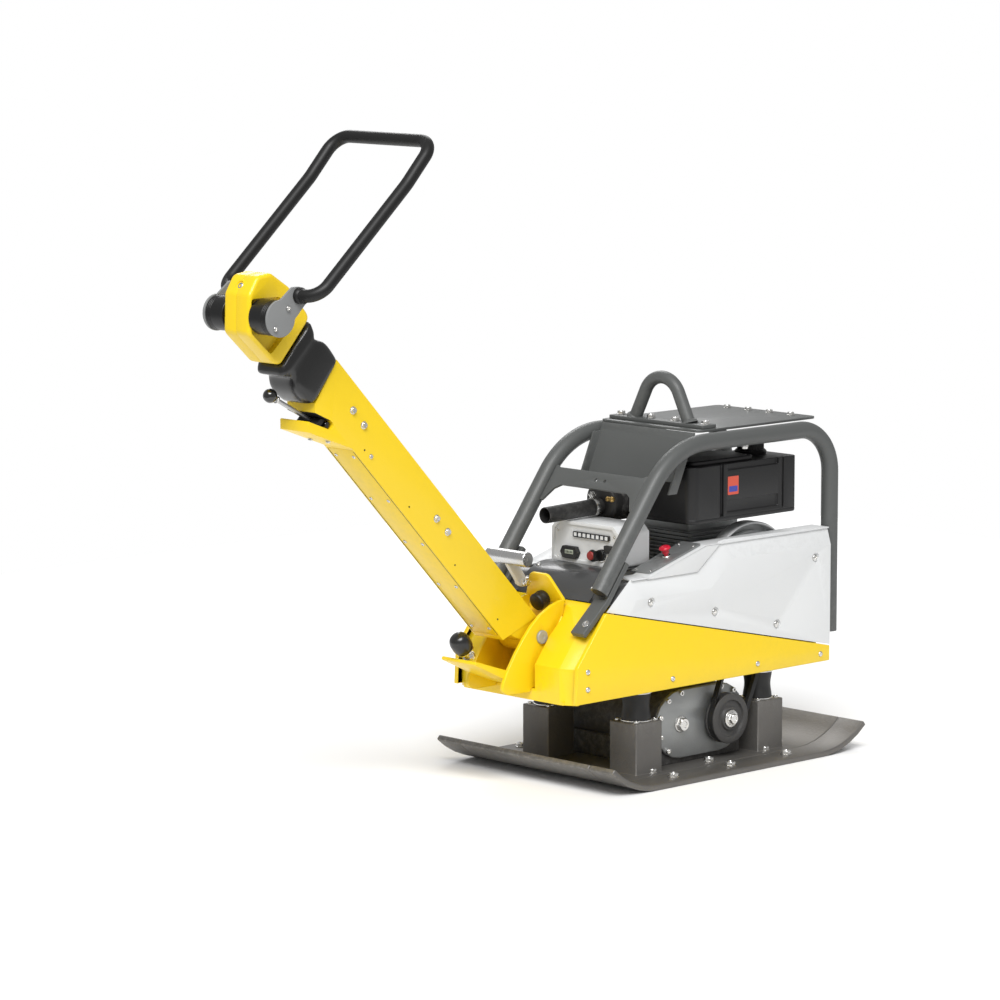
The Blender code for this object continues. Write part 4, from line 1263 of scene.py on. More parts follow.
# ---------------- controls
@dataclass
class ControlPanel:
    """Control box on the rear cover, with its gauges, button and key, and the service plate."""

    face_x: float = -240
    half: float = 114
    low: float = 505.3
    high: float = 606
    button_at: tuple[float, float] = (-24, 529)
    key_at: tuple[float, float] = (-54, 533)

    def build(self) -> None:
        """Build the box and everything set in its face."""
        low, high, half = self.low, self.high, self.half
        outline = [(-half, low), (half, low), (half, 588), (96, high), (-96, high), (-half, 588)]
        soft = in_metres(round_outline(outline, 9, 5))
        x = self.face_x * MM
        shell = prism(soft, Vector((x, 0, 0)), Y_AXIS, Z_AXIS, Vector((0.105, 0, 0)))
        inner = [(-half + 9, low + 8), (half - 9, low + 8), (half - 9, 583), (90, high - 8), (-90, high - 8),
                 (-half + 9, 583)]
        field_cut = prism(in_metres(round_outline(inner, 6, 5)), Vector((x - 0.01, 0, 0)),
                          Y_AXIS, Z_AXIS, Vector((0.0138, 0, 0)))
        button = drum(0.0094, -0.03, 0.01, vec(self.face_x, *self.button_at),
                       -X_AXIS, 32)
        lock = drum(0.0084, -0.03, 0.01, vec(self.face_x, *self.key_at),
                     -X_AXIS, 32)
        piece("control_box_skin", cut(shell, [field_cut, button, lock]), SILVER, Body.MACHINE,
              Edge(0.0014, 3, 30), ("control_box",))
        for y in (-103, 103):
            for z in (514, 580):
                BOLTS.add(vec(self.face_x + 3.7, y * 0.93, z), (-1, 0, 0), 3.2, Fastener.BUTTON)
        self.strip()
        self.meter()
        self.switches()
        self.service_plate()

    def strip(self) -> None:
        """Black window with a row of lamps, and the fuse cover below it."""
        low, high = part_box("indicator_strip")
        outline = rectangle(low.y, low.z, high.y, high.z)
        soft = round_outline(outline, 0.004, 5)
        data = prism(soft, Vector((low.x, 0, 0)), Y_AXIS, Z_AXIS, Vector((0.006, 0, 0)))
        piece("indicator_window", data, KNOB, Body.MACHINE, Edge(0.0006), ("indicator_strip",))
        block_row("indicator_lamps", 8, vec(-242.1, -74, 576), vec(0, 15, 0), vec(1.6, 8.6, 8.6), LAMP)
        cover = prism(round_outline(rectangle(-0.092, 0.54, -0.068, 0.559), 0.003, 4),
                      vec(-245, 0, 0), Y_AXIS, Z_AXIS, vec(8, 0, 0))
        piece("fuse_cover", cover, PLASTIC, Body.MACHINE, Edge(0.0008))

    def meter(self) -> None:
        """Hexagonal hour meter: bezel, sunk face and its narrow display."""
        hexagon = [(30, 530.5), (22, 545), (-22, 545), (-30, 530.5), (-22, 516), (22, 516)]
        outline = [((y + 48) * MM, z * MM) for y, z in round_outline(hexagon, 3, 4)]
        inner = [((y * 0.86 + 48) * MM, (530.5 + (z - 530.5) * 0.8) * MM) for y,
                 z in round_outline(hexagon, 3, 4)]
        bezel = loft([[Vector((x * MM, y, z)) for y, z in ring]
                      for x, ring in ((-236, outline), (-248, outline), (-248, inner), (-246.6, inner))])
        piece("hour_meter_bezel", bezel, PLASTIC, Body.MACHINE, Edge(0.0009, 2, 30), ("hour_meter",))
        window = rectangle(0.034, 0.5265, 0.062, 0.5365)
        data = prism(window, vec(-247, 0, 0), Y_AXIS, Z_AXIS, vec(1.2, 0, 0))
        piece("hour_meter_display", data, SCREEN, Body.MACHINE, Edge(0.0003))
        block_row("hour_meter_digits", 5, vec(-247.15, 37.5, 531.5), vec(0, 5, 0), vec(0.4, 2.6, 5.4),
                  PLASTIC)

    def switches(self) -> None:
        """Start button with its collar, and the key switch with its round cap."""
        place, back = vec(self.face_x, *self.button_at), -X_AXIS
        collar = [(0.0096, -0.001), (0.014, -0.001), (0.0145, 0.002), (0.0135, 0.0042), (0.0104, 0.0042)]
        piece("button_collar", lathe(collar, place + vec(3.4, 0, 0), back, 48), PLASTIC)
        cap = [(0, -0.01), (0.009, -0.01), (0.009, 0.004), (0.0108, 0.0045), (0.011, 0.0066),
               (0.0098, 0.0084), (0.006, 0.0092), (0, 0.0094)]
        piece("start_button_skin", lathe(cap, place, back, 48), DULL_RED, Body.BUTTON,
              replaces=("start_button",))
        place = vec(self.face_x, *self.key_at)
        cap = [(0, -0.012), (0.008, -0.012), (0.008, 0.0003), (0.0132, 0.0003), (0.014, 0.001),
               (0.014, 0.0048), (0.0128, 0.006), (0, 0.006)]
        handle = prism(round_outline(rectangle(-0.0125, -0.0085, 0.0125, 0.0085),
                                     0.005, 5), place + vec(-16, -1.7, 0), Z_AXIS, X_AXIS,
                       vec(0, 3.4, 0))
        ring = [(0.0094, -0.001), (0.0165, -0.001), (0.0165, 0.0022), (0.0144, 0.0022), (0.0144, 0.0002)]
        piece("key_switch_ring", lathe(ring, place + vec(3.4, 0, 0), back, 48), ZINC)
        piece("ignition_key_skin", merged([lathe(cap, place, back, 48), handle]), HUB_BLACK, Body.KEY,
              Edge(0.0005), ("ignition_key",))

    def service_plate(self) -> None:
        """Sloping plate on the right shoulder with four screws and the red stop knob."""
        start, end = vec(-212, 0, 499), vec(-34, 0, 552.5)
        run = (end - start).normalized()
        rise = Vector((-run.z, 0, run.x))
        length = (end - start).length
        outline = round_outline(rectangle(0, -0.192, length, -0.128), 0.006, 5)
        data = prism(outline, start, run, Y_AXIS, rise * 0.003)
        knob = start + run * 0.095 + vec(0, -160, 0)
        hole = drum(0.0054, -0.01, 0.02, knob, rise, 32)
        piece("service_plate_skin", cut(data, [hole]), ALLOY, Body.MACHINE, Edge(0.0007), ("service_plate",))
        for along in (0.012, 0.166):
            for y in (-0.184, -0.136):
                BOLTS.add(start + run * along + Vector((0, y, 0)) + rise * 0.003, rise, 3.6, Fastener.BUTTON)
        collar = [(0.0056, 0.003), (0.011, 0.003), (0.011, 0.0045), (0.009, 0.007), (0.0056, 0.007)]
        piece("stop_knob_collar", lathe(collar, knob, rise, 48), ZINC, Body.MACHINE, Edge(0.0004))
        dome = [(14.5 * math.cos(math.radians(a)), 25 + 7 * math.sin(math.radians(a)))
                for a in range(0, 91, 10)]
        stem = [(0, 0.5), (5, 0.5), (5, 12), (8.8, 13), (8.4, 17), (9.5, 20)]
        profile = [(r * MM, h * MM) for r, h in stem + [(13.4, 22.6), (14.4, 24)] + dome]
        piece("stop_knob_skin", lathe(profile, knob, rise, 48), RED, Body.STOP, replaces=("stop_knob",),
              smooth=50)


# ---------------- engine
@dataclass
class Engine:
    """Single-cylinder air-cooled diesel under the guard frame."""

    crank: tuple[float, float] = (200, 430)

    def build(self) -> None:
        """Build the engine's block, cooling, exhaust, filter and battery."""
        ease("crankcase", ALLOY, Body.MACHINE, 0.006, 4, 40)
        for y, sign in ((-104, -1), (120, 1)):
            for x in (84, 142, 200, 258, 326):
                for z in (236, 416):
                    BOLTS.add(vec(x, y, z), (0, sign, 0), 6)
        self.cylinder()
        self.fan()
        self.exhaust()
        self.filter()
        self.battery()

    def cylinder(self) -> None:
        """Cylinder and head as one core, with its stack of fins."""
        low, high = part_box("cylinder")
        core = block((low.x + 0.014, low.y + 0.01, low.z), (high.x - 0.014, high.y - 0.01, high.z - 0.004))
        head = block((low.x + 0.006, low.y + 0.006, high.z - 0.03), (high.x - 0.006, high.y - 0.006, high.z))
        piece("cylinder_core", merged([core, head]), ALLOY, Body.MACHINE, Edge(0.004, 3), ("cylinder",))
        middle = (low + high) / 2
        block_row("cylinder_fins", 13, Vector((middle.x, middle.y, low.z + 0.008)), vec(0, 0, 9.6),
                  Vector((high.x - low.x, high.y - low.y, 0.0032)), ALLOY)

    def fan(self) -> None:
        """Cooling-fan shroud round the flywheel."""
        place = vec(self.crank[0], -106.3, self.crank[1])
        ring = [(26, 0), (146, 0), (150, 3), (150, 33), (148, 36), (145, 36), (144, 34), (144, 6), (60, 5),
                (52, 9), (26, 9)]
        piece("fan_shroud", lathe(in_metres(ring), place, -Y_AXIS, 72), SILVER,
              Body.MACHINE, Edge(0.0006), ("fan_housing",))

    def exhaust(self) -> None:
        """Silencer with pressed ends and straps, the clamped tail pipe and the breather fitting."""
        start, back = vec(40, 60, 641), -X_AXIS
        body = [(0, 0), (30, 0), (42, 1.5), (47, 5), (50, 8), (51.2, 8), (51.2, 13), (50, 13.4), (50, 80),
                (49, 82),
                (49, 88), (50, 90), (50, 156.6), (51.2, 157), (51.2, 162), (50, 162), (47, 165.5), (42, 169),
                (30, 170), (0, 170)]
        piece("muffler_skin", lathe(in_metres(body), start, back, 64), HEATPROOF,
              replaces=("muffler",), smooth=50)
        pipe_start, axis = vec(-131, 60, 631), Vector((-186, 0, -5)).normalized()
        pipe = [(0, 0), (20, 0), (20, 183), (19.5, 186), (17.8, 186), (17.5, 184), (17.4, 8), (0, 8)]
        piece("exhaust_pipe_skin", lathe(in_metres(pipe), pipe_start, axis, 64), HEATPROOF,
              replaces=("exhaust_pipe",), smooth=50)
        band = [(19.8, 14), (22.4, 14), (22.8, 15), (22.8, 27), (22.4, 28), (19.8, 28)]
        piece("exhaust_clamp", lathe(in_metres(band), pipe_start, axis, 64), ZINC)
        lug = block((-0.158, 0.058, 0.652), (-0.146, 0.066, 0.668))
        piece("exhaust_clamp_lugs", lug, ZINC, Body.MACHINE, Edge(0.001))
        BOLTS.add(vec(-152, 58, 661), (0, -1, 0), 5.5)
        BOLTS.add(vec(-152, 66, 661), (0, 1, 0), 5.5, Fastener.NUT)
        strap = [(50.3, 30), (51.4, 30), (51.4, 48), (50.3, 48)]
        straps = [lathe([(r * MM, (h + d) * MM) for r, h in strap], start, back, 64) for d in (0, 92)]
        piece("muffler_straps", merged(straps), HEATPROOF)
        fitting = [(0, 0), (6, 0), (6, 6), (4.5, 7), (4.5, 14), (7, 14), (7, 20), (5, 22), (0, 22)]
        piece("breather_fitting", lathe(in_metres(fitting), vec(-150, 14, 655), -Y_AXIS,
                                        32), BRASS, Body.MACHINE, Edge(0.0004))

    def filter(self) -> None:
        """Air-cleaner can with its pressed beads."""
        can = [(0, 0), (38, 0), (46, 4), (52, 14), (52, 148), (53.2, 150), (53.2, 156), (52, 158), (52, 196),
               (49, 204), (44, 209), (30, 210), (0, 210)]
        start = vec(60, 97, 706)
        piece("air_filter_skin", lathe(in_metres(can), start, X_AXIS, 64), PLASTIC, replaces=("air_filter",),
              smooth=45)

    def battery(self) -> None:
        """Starter battery with its lid rim and posts."""
        ease("battery", PLASTIC, Body.MACHINE, 0.004, 3)
        low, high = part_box("battery")
        lid = block((low.x - 0.002, low.y - 0.002, high.z - 0.03),
                    (high.x + 0.002, high.y + 0.002, high.z - 0.024))
        piece("battery_lid_rim", lid, PLASTIC, Body.MACHINE, Edge(0.001))
        for y in (-0.06, 0.06):
            post = [(0, 0), (0.009, 0), (0.008, 0.014), (0, 0.014)]
            name = "battery_post_" + ("right" if y < 0 else "left")
            piece(name, lathe(post, Vector((high.x - 0.03, y, high.z)), Z_AXIS, 32), ZINC)


@dataclass
class FuelTank:
    """Moulded tank with its lip, wells, top pad, cap and a plain two-colour patch."""

    low: float = 597
    high: float = 748
    side: float = -170
    wells: tuple[tuple[tuple[float, ...], float], ...] = (
        ((81, 618, 263, 647), 4), ((81, 721, 265, 760), 7), ((277, 612, 284, 742), 6),
        ((55, 604, 68, 760), 8))

    def build(self) -> None:
        """Build the tank and what is on it."""
        plan = [(-44, 5), (-44, -152), (-28, -170), (335, -170), (335, 5)]
        outline = in_metres(round_outline(plan, 22, 8))
        shell = prism(outline, vec(0, 0, self.low + 10), X_AXIS, Y_AXIS, vec(0, 0, self.high - self.low - 22))
        wells = []
        for (x0, z0, x1, z1), depth in self.wells:
            soft = round_outline(rectangle(x0, z0, x1, z1), 3, 4)
            wells.append(prism(in_metres(soft), vec(0, self.side - 4, 0), X_AXIS,
                               Z_AXIS, vec(0, 4 + depth, 0)))
        piece("fuel_tank_skin", cut(shell, wells), TANK, Body.MACHINE, Edge(0.006, 4, 40), ("fuel_tank",))
        piece("fuel_tank_lip", prism(outline, vec(0, 0, self.low), X_AXIS, Y_AXIS, vec(0, 0, 13)), TANK,
              Body.MACHINE, Edge(0.004, 3, 40))
        pad = round_outline(rectangle(-0.02, -0.15, 0.2, -0.02), 0.02, 6)
        piece("fuel_tank_pad", prism(pad, vec(0, 0, self.high - 14), X_AXIS, Y_AXIS, vec(0, 0, 14)), TANK,
              Body.MACHINE, Edge(0.005, 4, 40))
        neck = [(0, -0.012), (0.038, -0.012), (0.04, -0.004), (0.036, 0.0002), (0, 0.0002)]
        place = vec(270, -70, self.high)
        piece("filler_neck", lathe(neck, place, Z_AXIS, 64), TANK)
        self.cap(place)
        y = (self.side - 0.4) * MM
        for name, paint, box in (("tank_patch", PATCH_RED, (0.082, 0.66, 0.12, 0.705)),
                                 ("tank_patch_mark", PATCH_BLUE, (0.086, 0.667, 0.116, 0.681))):
            x0, z0, x1, z1 = box
            lift = 0.0003 if paint is PATCH_BLUE else 0.0
            outline = round_outline(rectangle(x0, z0, x1, z1), 0.002, 3)
            data = prism(outline, Vector((0, y - lift, 0)), X_AXIS, Z_AXIS, Vector((0, 0.0008, 0)))
            piece(name, data, paint)

    def cap(self, place: Vector) -> None:
        """Filler cap with a ribbed grip.

        Args:
            place: the middle of its seat.
        """
        data = bmesh.new()
        ribs = [0.0012 if k % 4 < 2 else 0 for k in range(96)]
        rings = []
        for radius, height, rib in ((0.0, 0.0004, 0), (0.033, 0.0004, 0), (0.0335, 0.003, 1),
                                    (0.0335, 0.018, 1),
                                    (0.031, 0.0225, 0), (0.024, 0.024, 0), (0.0, 0.0236, 0)):
            ring = [(0, 0, 0)] if radius == 0 else [(c, d, r * rib) for (c, d), r in zip(turns(96), ribs)]
            rings.append([data.verts.new(place + Vector(((radius - r) * c, (radius - r) * d, height)))
                          for c, d, r in ring])
        bridge(data, rings)
        piece("fuel_cap_skin", data, PLASTIC, Body.CAP, replaces=("fuel_cap",), smooth=28)


# ---------------- guard frame
@dataclass
class GuardFrame:
    """Two bent tubes, feet, crossbar, panels and the lifting eye."""

    tube_r: float = 21.2
    tube_y: float = 180
    top_z: float = 799
    front_x: float = 442
    slope: float = math.radians(52.8)
    leg: float = 0.413
    eye_x: float = 27

    def __post_init__(self) -> None:
        """Work out the rear leg's direction and knee."""
        self.down = Vector((-math.cos(self.slope), 0, -math.sin(self.slope)))

    def build(self) -> None:
        """Build the frame on both sides, then what ties it together."""
        for side in Side:
            self.tube(side)
            self.foot(side)
        self.crossbar()
        self.panels()
        self.eye()

    def tube(self, side: Side) -> None:
        """Bend one guard tube, and lay a thin black disc of painted shade on its rear end."""
        y = side.value * self.tube_y
        knee = vec(-123, y, self.top_z)
        corners = [(knee + self.down * self.leg, 0.0), (knee, 0.226),
                   (vec(self.front_x, y, self.top_z), 0.112), (vec(self.front_x, y, 285), 0.0)]
        name = "guard_tube_" + side.tag
        bent_tube(name + "_skin", corners, self.tube_r * MM, GREY, Body.MACHINE, (name,), 44, 20)
        # The tube's rear end is capped, not hollow: a thin black disc laid on it is painted shade standing in
        # for the dark inside of the open tube.
        end = knee + self.down * (self.leg + 0.0002)
        bore = [(0, 0), (0.0178, 0), (0.0178, 0.0006), (0, 0.0006)]
        piece(name + "_bore", lathe(bore, end, self.down, 40), PLASTIC)

    def foot(self, side: Side) -> None:
        """Folded bracket between the leg and the tray's rear wall."""
        name = "guard_foot_" + side.tag
        ease(name, GREY, Body.MACHINE, 0.0022, 3, 25)
        sign = side.value
        normal = Vector((-0.66, 0, 0.751)).normalized()
        BOLTS.add(vec(-414, sign * 182, 396.5), normal, 11)
        ridge = [(-300, 520), (-340, 467), (-344, 470), (-306, 521)]
        for y in (156, 191):
            wall = side_sheet(ridge, sign, y, y + 4)
            piece(f"{name}_flange_{y}", wall, GREY, Body.MACHINE, Edge(0.0008))

    def crossbar(self) -> None:
        """Arched sheet tie with rounded corners and two holes."""
        middle = vec(-190, 0, 711)
        rise = -self.down
        normal = rise.cross(Y_AXIS).normalized()
        half = [(140, 14), (156, 22), (156, -80), (149, -80), (129, -44), (110, -32)]
        outline = [(-a, b) for a, b in half[::-1]] + half
        soft = in_metres(round_outline(outline, 10, 6))
        sheet = prism(soft, middle - normal * 0.003, Y_AXIS, rise, normal * 0.006)
        holes = [drum(0.0045, -0.01, 0.01, middle + vec(0, y, 0) - rise * 0.008,
                       normal, 24) for y in (-24, 6)]
        piece("guard_crossbar_skin", cut(sheet, holes), GREY, Body.MACHINE, Edge(0.001, 2, 40),
              ("guard_crossbar",))

    def panels(self) -> None:
        """Top plate with its bolts, and the sloping back panel."""
        low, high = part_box("top_plate")
        outline = round_outline(rectangle(low.x, low.y, high.x, high.y), 0.018, 6)
        sheet = prism(outline, Vector((0, 0, low.z)), X_AXIS, Y_AXIS, Vector((0, 0, 0.006)))
        piece("top_plate_skin", sheet, GREY, Body.MACHINE, Edge(0.0009, 2, 40), ("top_plate",))
        for i in range(4):
            BOLTS.add(vec(375, -108 + 72 * i, high.z / MM), (0, 0, 1), 8.5)
        for sign in (-1, 1):
            BOLTS.add(vec(130, sign * 180, 777.8), (0, 0, -1), 8)
        ease("back_panel", GREY, Body.MACHINE, 0.0012, 2, 25)

    def eye(self) -> None:
        """Lifting eye: round bar over a base strip with four bolts."""
        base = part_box("top_plate")[1].z / MM + 0.3
        strip = round_outline(rectangle(0.002, -0.16, 0.052, 0.16), 0.006, 5)
        data = prism(strip, vec(0, 0, base), X_AXIS, Y_AXIS, vec(0, 0, 9))
        piece("lifting_eye_strip", data, GREY, Body.MACHINE, Edge(0.0015, 3, 40), ("lifting_eye",))
        centre, radius, foot = 878, 62, 93
        reach = math.hypot(foot, base - centre)
        start = math.degrees(math.atan2(base - centre, foot) + math.acos(radius / reach))
        line = [(foot, base + 4)] + arc(0, centre, radius, start, 180 - start, 40) + [(-foot, base + 4)]
        bent_tube("lifting_eye_loop", [(vec(self.eye_x, y, z), 0.0) for y, z in line], 0.016, GREY)
        for y, lean in ((foot, -1), (-foot, 1)):
            bead = [(0.0155, -0.001), (0.0215, -0.001), (0.0195, 0.0035), (0.0155, 0.007)]
            name = "eye_weld_" + ("left" if y > 0 else "right")
            piece(name, lathe(bead, vec(self.eye_x, y, base + 8.6), Vector((0, lean * 0.35, 1)), 32), GREY)
        for y in (-143, -41, 41, 143):
            BOLTS.add(vec(30, y, base + 9), (0, 0, 1), 10)


# ---------------- guide pole
@dataclass
class PoleFrame:
    """Coordinates along the guide pole: s up the pole, t square to it, both in millimetres."""

    pivot: tuple[float, float] = (-450, 360)
    angle: float = math.radians(46.24)

    def at(self, s: float, t: float, y: float = 0) -> Vector:
        """A point in space, in metres."""
        cos, sin = math.cos(self.angle), math.sin(self.angle)
        return vec(self.pivot[0] - s * cos + t * sin, y, self.pivot[1] + s * sin + t * cos)

    @property
    def along(self) -> Vector:
        """Unit vector up the pole."""
        return Vector((-math.cos(self.angle), 0, math.sin(self.angle)))

    @property
    def out(self) -> Vector:
        """Unit vector square to the pole, towards the sky."""
        return Vector((math.sin(self.angle), 0, math.cos(self.angle)))

    def slab(self, outline: Sequence[Point], low: float, high: float) -> Solid:
        """Solid between two Y planes from an outline in s, t."""
        points = [self.at(s, t) for s, t in outline]
        return side_slab([(p.x, p.z) for p in points], low * MM, high * MM)


@dataclass
class PoleBracket:
    """Weldment at the foot of the pole, with its pin, buffers and catch bar."""

    frame: PoleFrame
    stop_x: float = -377
    stop_z: float = 440
    tilt: float = math.radians(70.7)

    @property
    def stop_out(self) -> Vector:
        """Unit vector square to the stop plate, away from the pole."""
        return Vector((math.sin(self.tilt), 0, math.cos(self.tilt)))

    def build(self) -> None:
        """Build the bracket and what is pinned or bolted to it."""
        self.ears()
        self.pin()
        self.buffers()
        self.catch()

    def ears(self) -> None:
        """Two curved ears, the chamfered stop plate and the folded stop ledge."""
        outer = [(-366, 441), (-384, 441), (-416, 432), (-453, 413), (-483, 389), (-509, 361), (-534, 330),
                 (-557, 296), (-573, 266), (-580, 244), (-560, 232), (-486, 232), (-484.5, 241), (-443, 241),
                 (-443, 290), (-376, 409), (-374, 428)]
        outline = round_outline(outer, 14, 4)
        pivot = vec(self.frame.pivot[0], 0, self.frame.pivot[1])
        parts = []
        for sign in (-1, 1):
            bore = drum(0.0153, -0.1, 0.1, pivot, Y_AXIS, 40)
            parts.append(cut(side_sheet(outline, sign, 54, 64), [bore]))
        rise = Vector((-math.cos(self.tilt), 0, math.sin(self.tilt)))
        stop = [(-64, 430), (64, 430), (64, 440), (30, 500), (-30, 500), (-64, 440)]
        plate = round_outline([(y * MM, (z - self.stop_z) * MM / rise.z) for y, z in stop], 0.02, 6)
        parts.append(prism(plate, vec(self.stop_x, 0, self.stop_z), Y_AXIS, rise, self.stop_out * 0.008))
        ledge = [(-484.5, 240), (-484.5, 262), (-560, 292), (-660, 325), (-664, 317), (-560, 268)]
        parts.append(side_slab(in_metres(round_outline(ledge, 6, 3)), -0.058, 0.058))
        piece("pole_bracket_skin", merged(parts), YELLOW, Body.MACHINE, Edge(0.0016, 3, 35),
              ("pole_bracket",))
        for sign in (-1, 1):
            spots = [vec(-443 + i * 4.1, sign * 64, 292 + i * 7.3) for i in range(16)]
            bead = sweep(spots, [0.0036 + 0.0006 * (i % 2) for i in range(16)], 12)
            piece("bracket_weld_" + ("right" if sign < 0 else "left"), bead, YELLOW, Body.MACHINE, smooth=70)

    def pin(self) -> None:
        """Pivot pin with chamfered turned heads."""
        low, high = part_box("pivot_pin")
        centre = (low + high) / 2
        end = (high.y - low.y) / 2
        half = [(0, end - 0.0012), (0.0042, end - 0.0012), (0.0048, end), (0.0148, end),
                (0.0162, end - 0.0014), (0.0162, 0.0643), (0.015, 0.0643)]
        profile = half + [(r, -h) for r, h in reversed(half)]
        piece("pivot_pin_skin", lathe(profile, centre, Y_AXIS, 64), PIN,
              replaces=("pivot_pin",))

    def buffers(self) -> None:
        """Puck on the stop plate and domed buffer on the ledge."""
        axis = -self.stop_out
        place = vec(self.stop_x, 0, self.stop_z) + axis * 0.0003
        puck = [(0, 0), (19, 0), (20.5, 2), (22, 9)] + \
               [(22 - 0.6 * math.sin(i / 6 * math.pi), 9 + 17 * i / 6) for i in range(1, 6)] + \
               [(22, 26), (21, 29), (18, 31), (0, 31)]
        piece("upper_buffer_skin", lathe(in_metres(puck), place, axis, 48), RUBBER,
              replaces=("upper_buffer",), smooth=45)
        axis, foot = Vector((-0.62, 0, 0.78)), vec(-626, 0, 325.5)
        dome = [(0, 23), (19, 23), (21.5, 25), (24, 31), (25, 38), (25, 52), (23.4, 59), (20, 65), (15, 69),
                (8, 71.6), (0, 72)]
        piece("lower_buffer_skin", lathe(in_metres(dome), foot, axis, 48), BOOT,
              replaces=("lower_buffer",), smooth=60)
        stud = [(0, 0), (8, 0), (8.6, 0.6), (8.6, 1.4), (8, 2), (8, 19), (21, 19.4), (21, 22.8), (0, 22.8)]
        piece("lower_buffer_stud", lathe(in_metres(stud), foot, axis, 48), ZINC)
        BOLTS.add(foot + axis * 0.001, axis, 12.5)

    def catch(self) -> None:
        """Catch bar with turned ends, on its pivoting web."""
        centre = vec(-452, 0, 541)
        start, end = -0.020, 0.112
        bar = [(0, start + 0.008), (0.0045, start + 0.008), (0.0045, start), (0.0168, start),
               (0.018, start + 0.0014), (0.018, end - 0.0014), (0.0168, end), (0, end)]
        piece("catch_bar", lathe(bar, centre, Y_AXIS, 64), BRUSHED, Body.CATCH, replaces=("pole_catch",))
        web = [(-470, 538), (-436, 540), (-399, 486), (-398, 468), (-408, 464), (-419, 468)]
        data = side_slab(in_metres(round_outline(web, 6, 4)), 0.040, 0.052)
        hub = [(0, -0.02), (0.009, -0.02), (0.009, 0.012), (0, 0.012)]
        pin = lathe(hub, vec(-408, 50, 476), Y_AXIS, 32)
        piece("catch_web", merged([data, pin]), SILVER, Body.CATCH, Edge(0.0012, 3, 35))
        BOLTS.add(vec(-408, 29.8, 476), (0, -1, 0), 8, body=Body.CATCH)


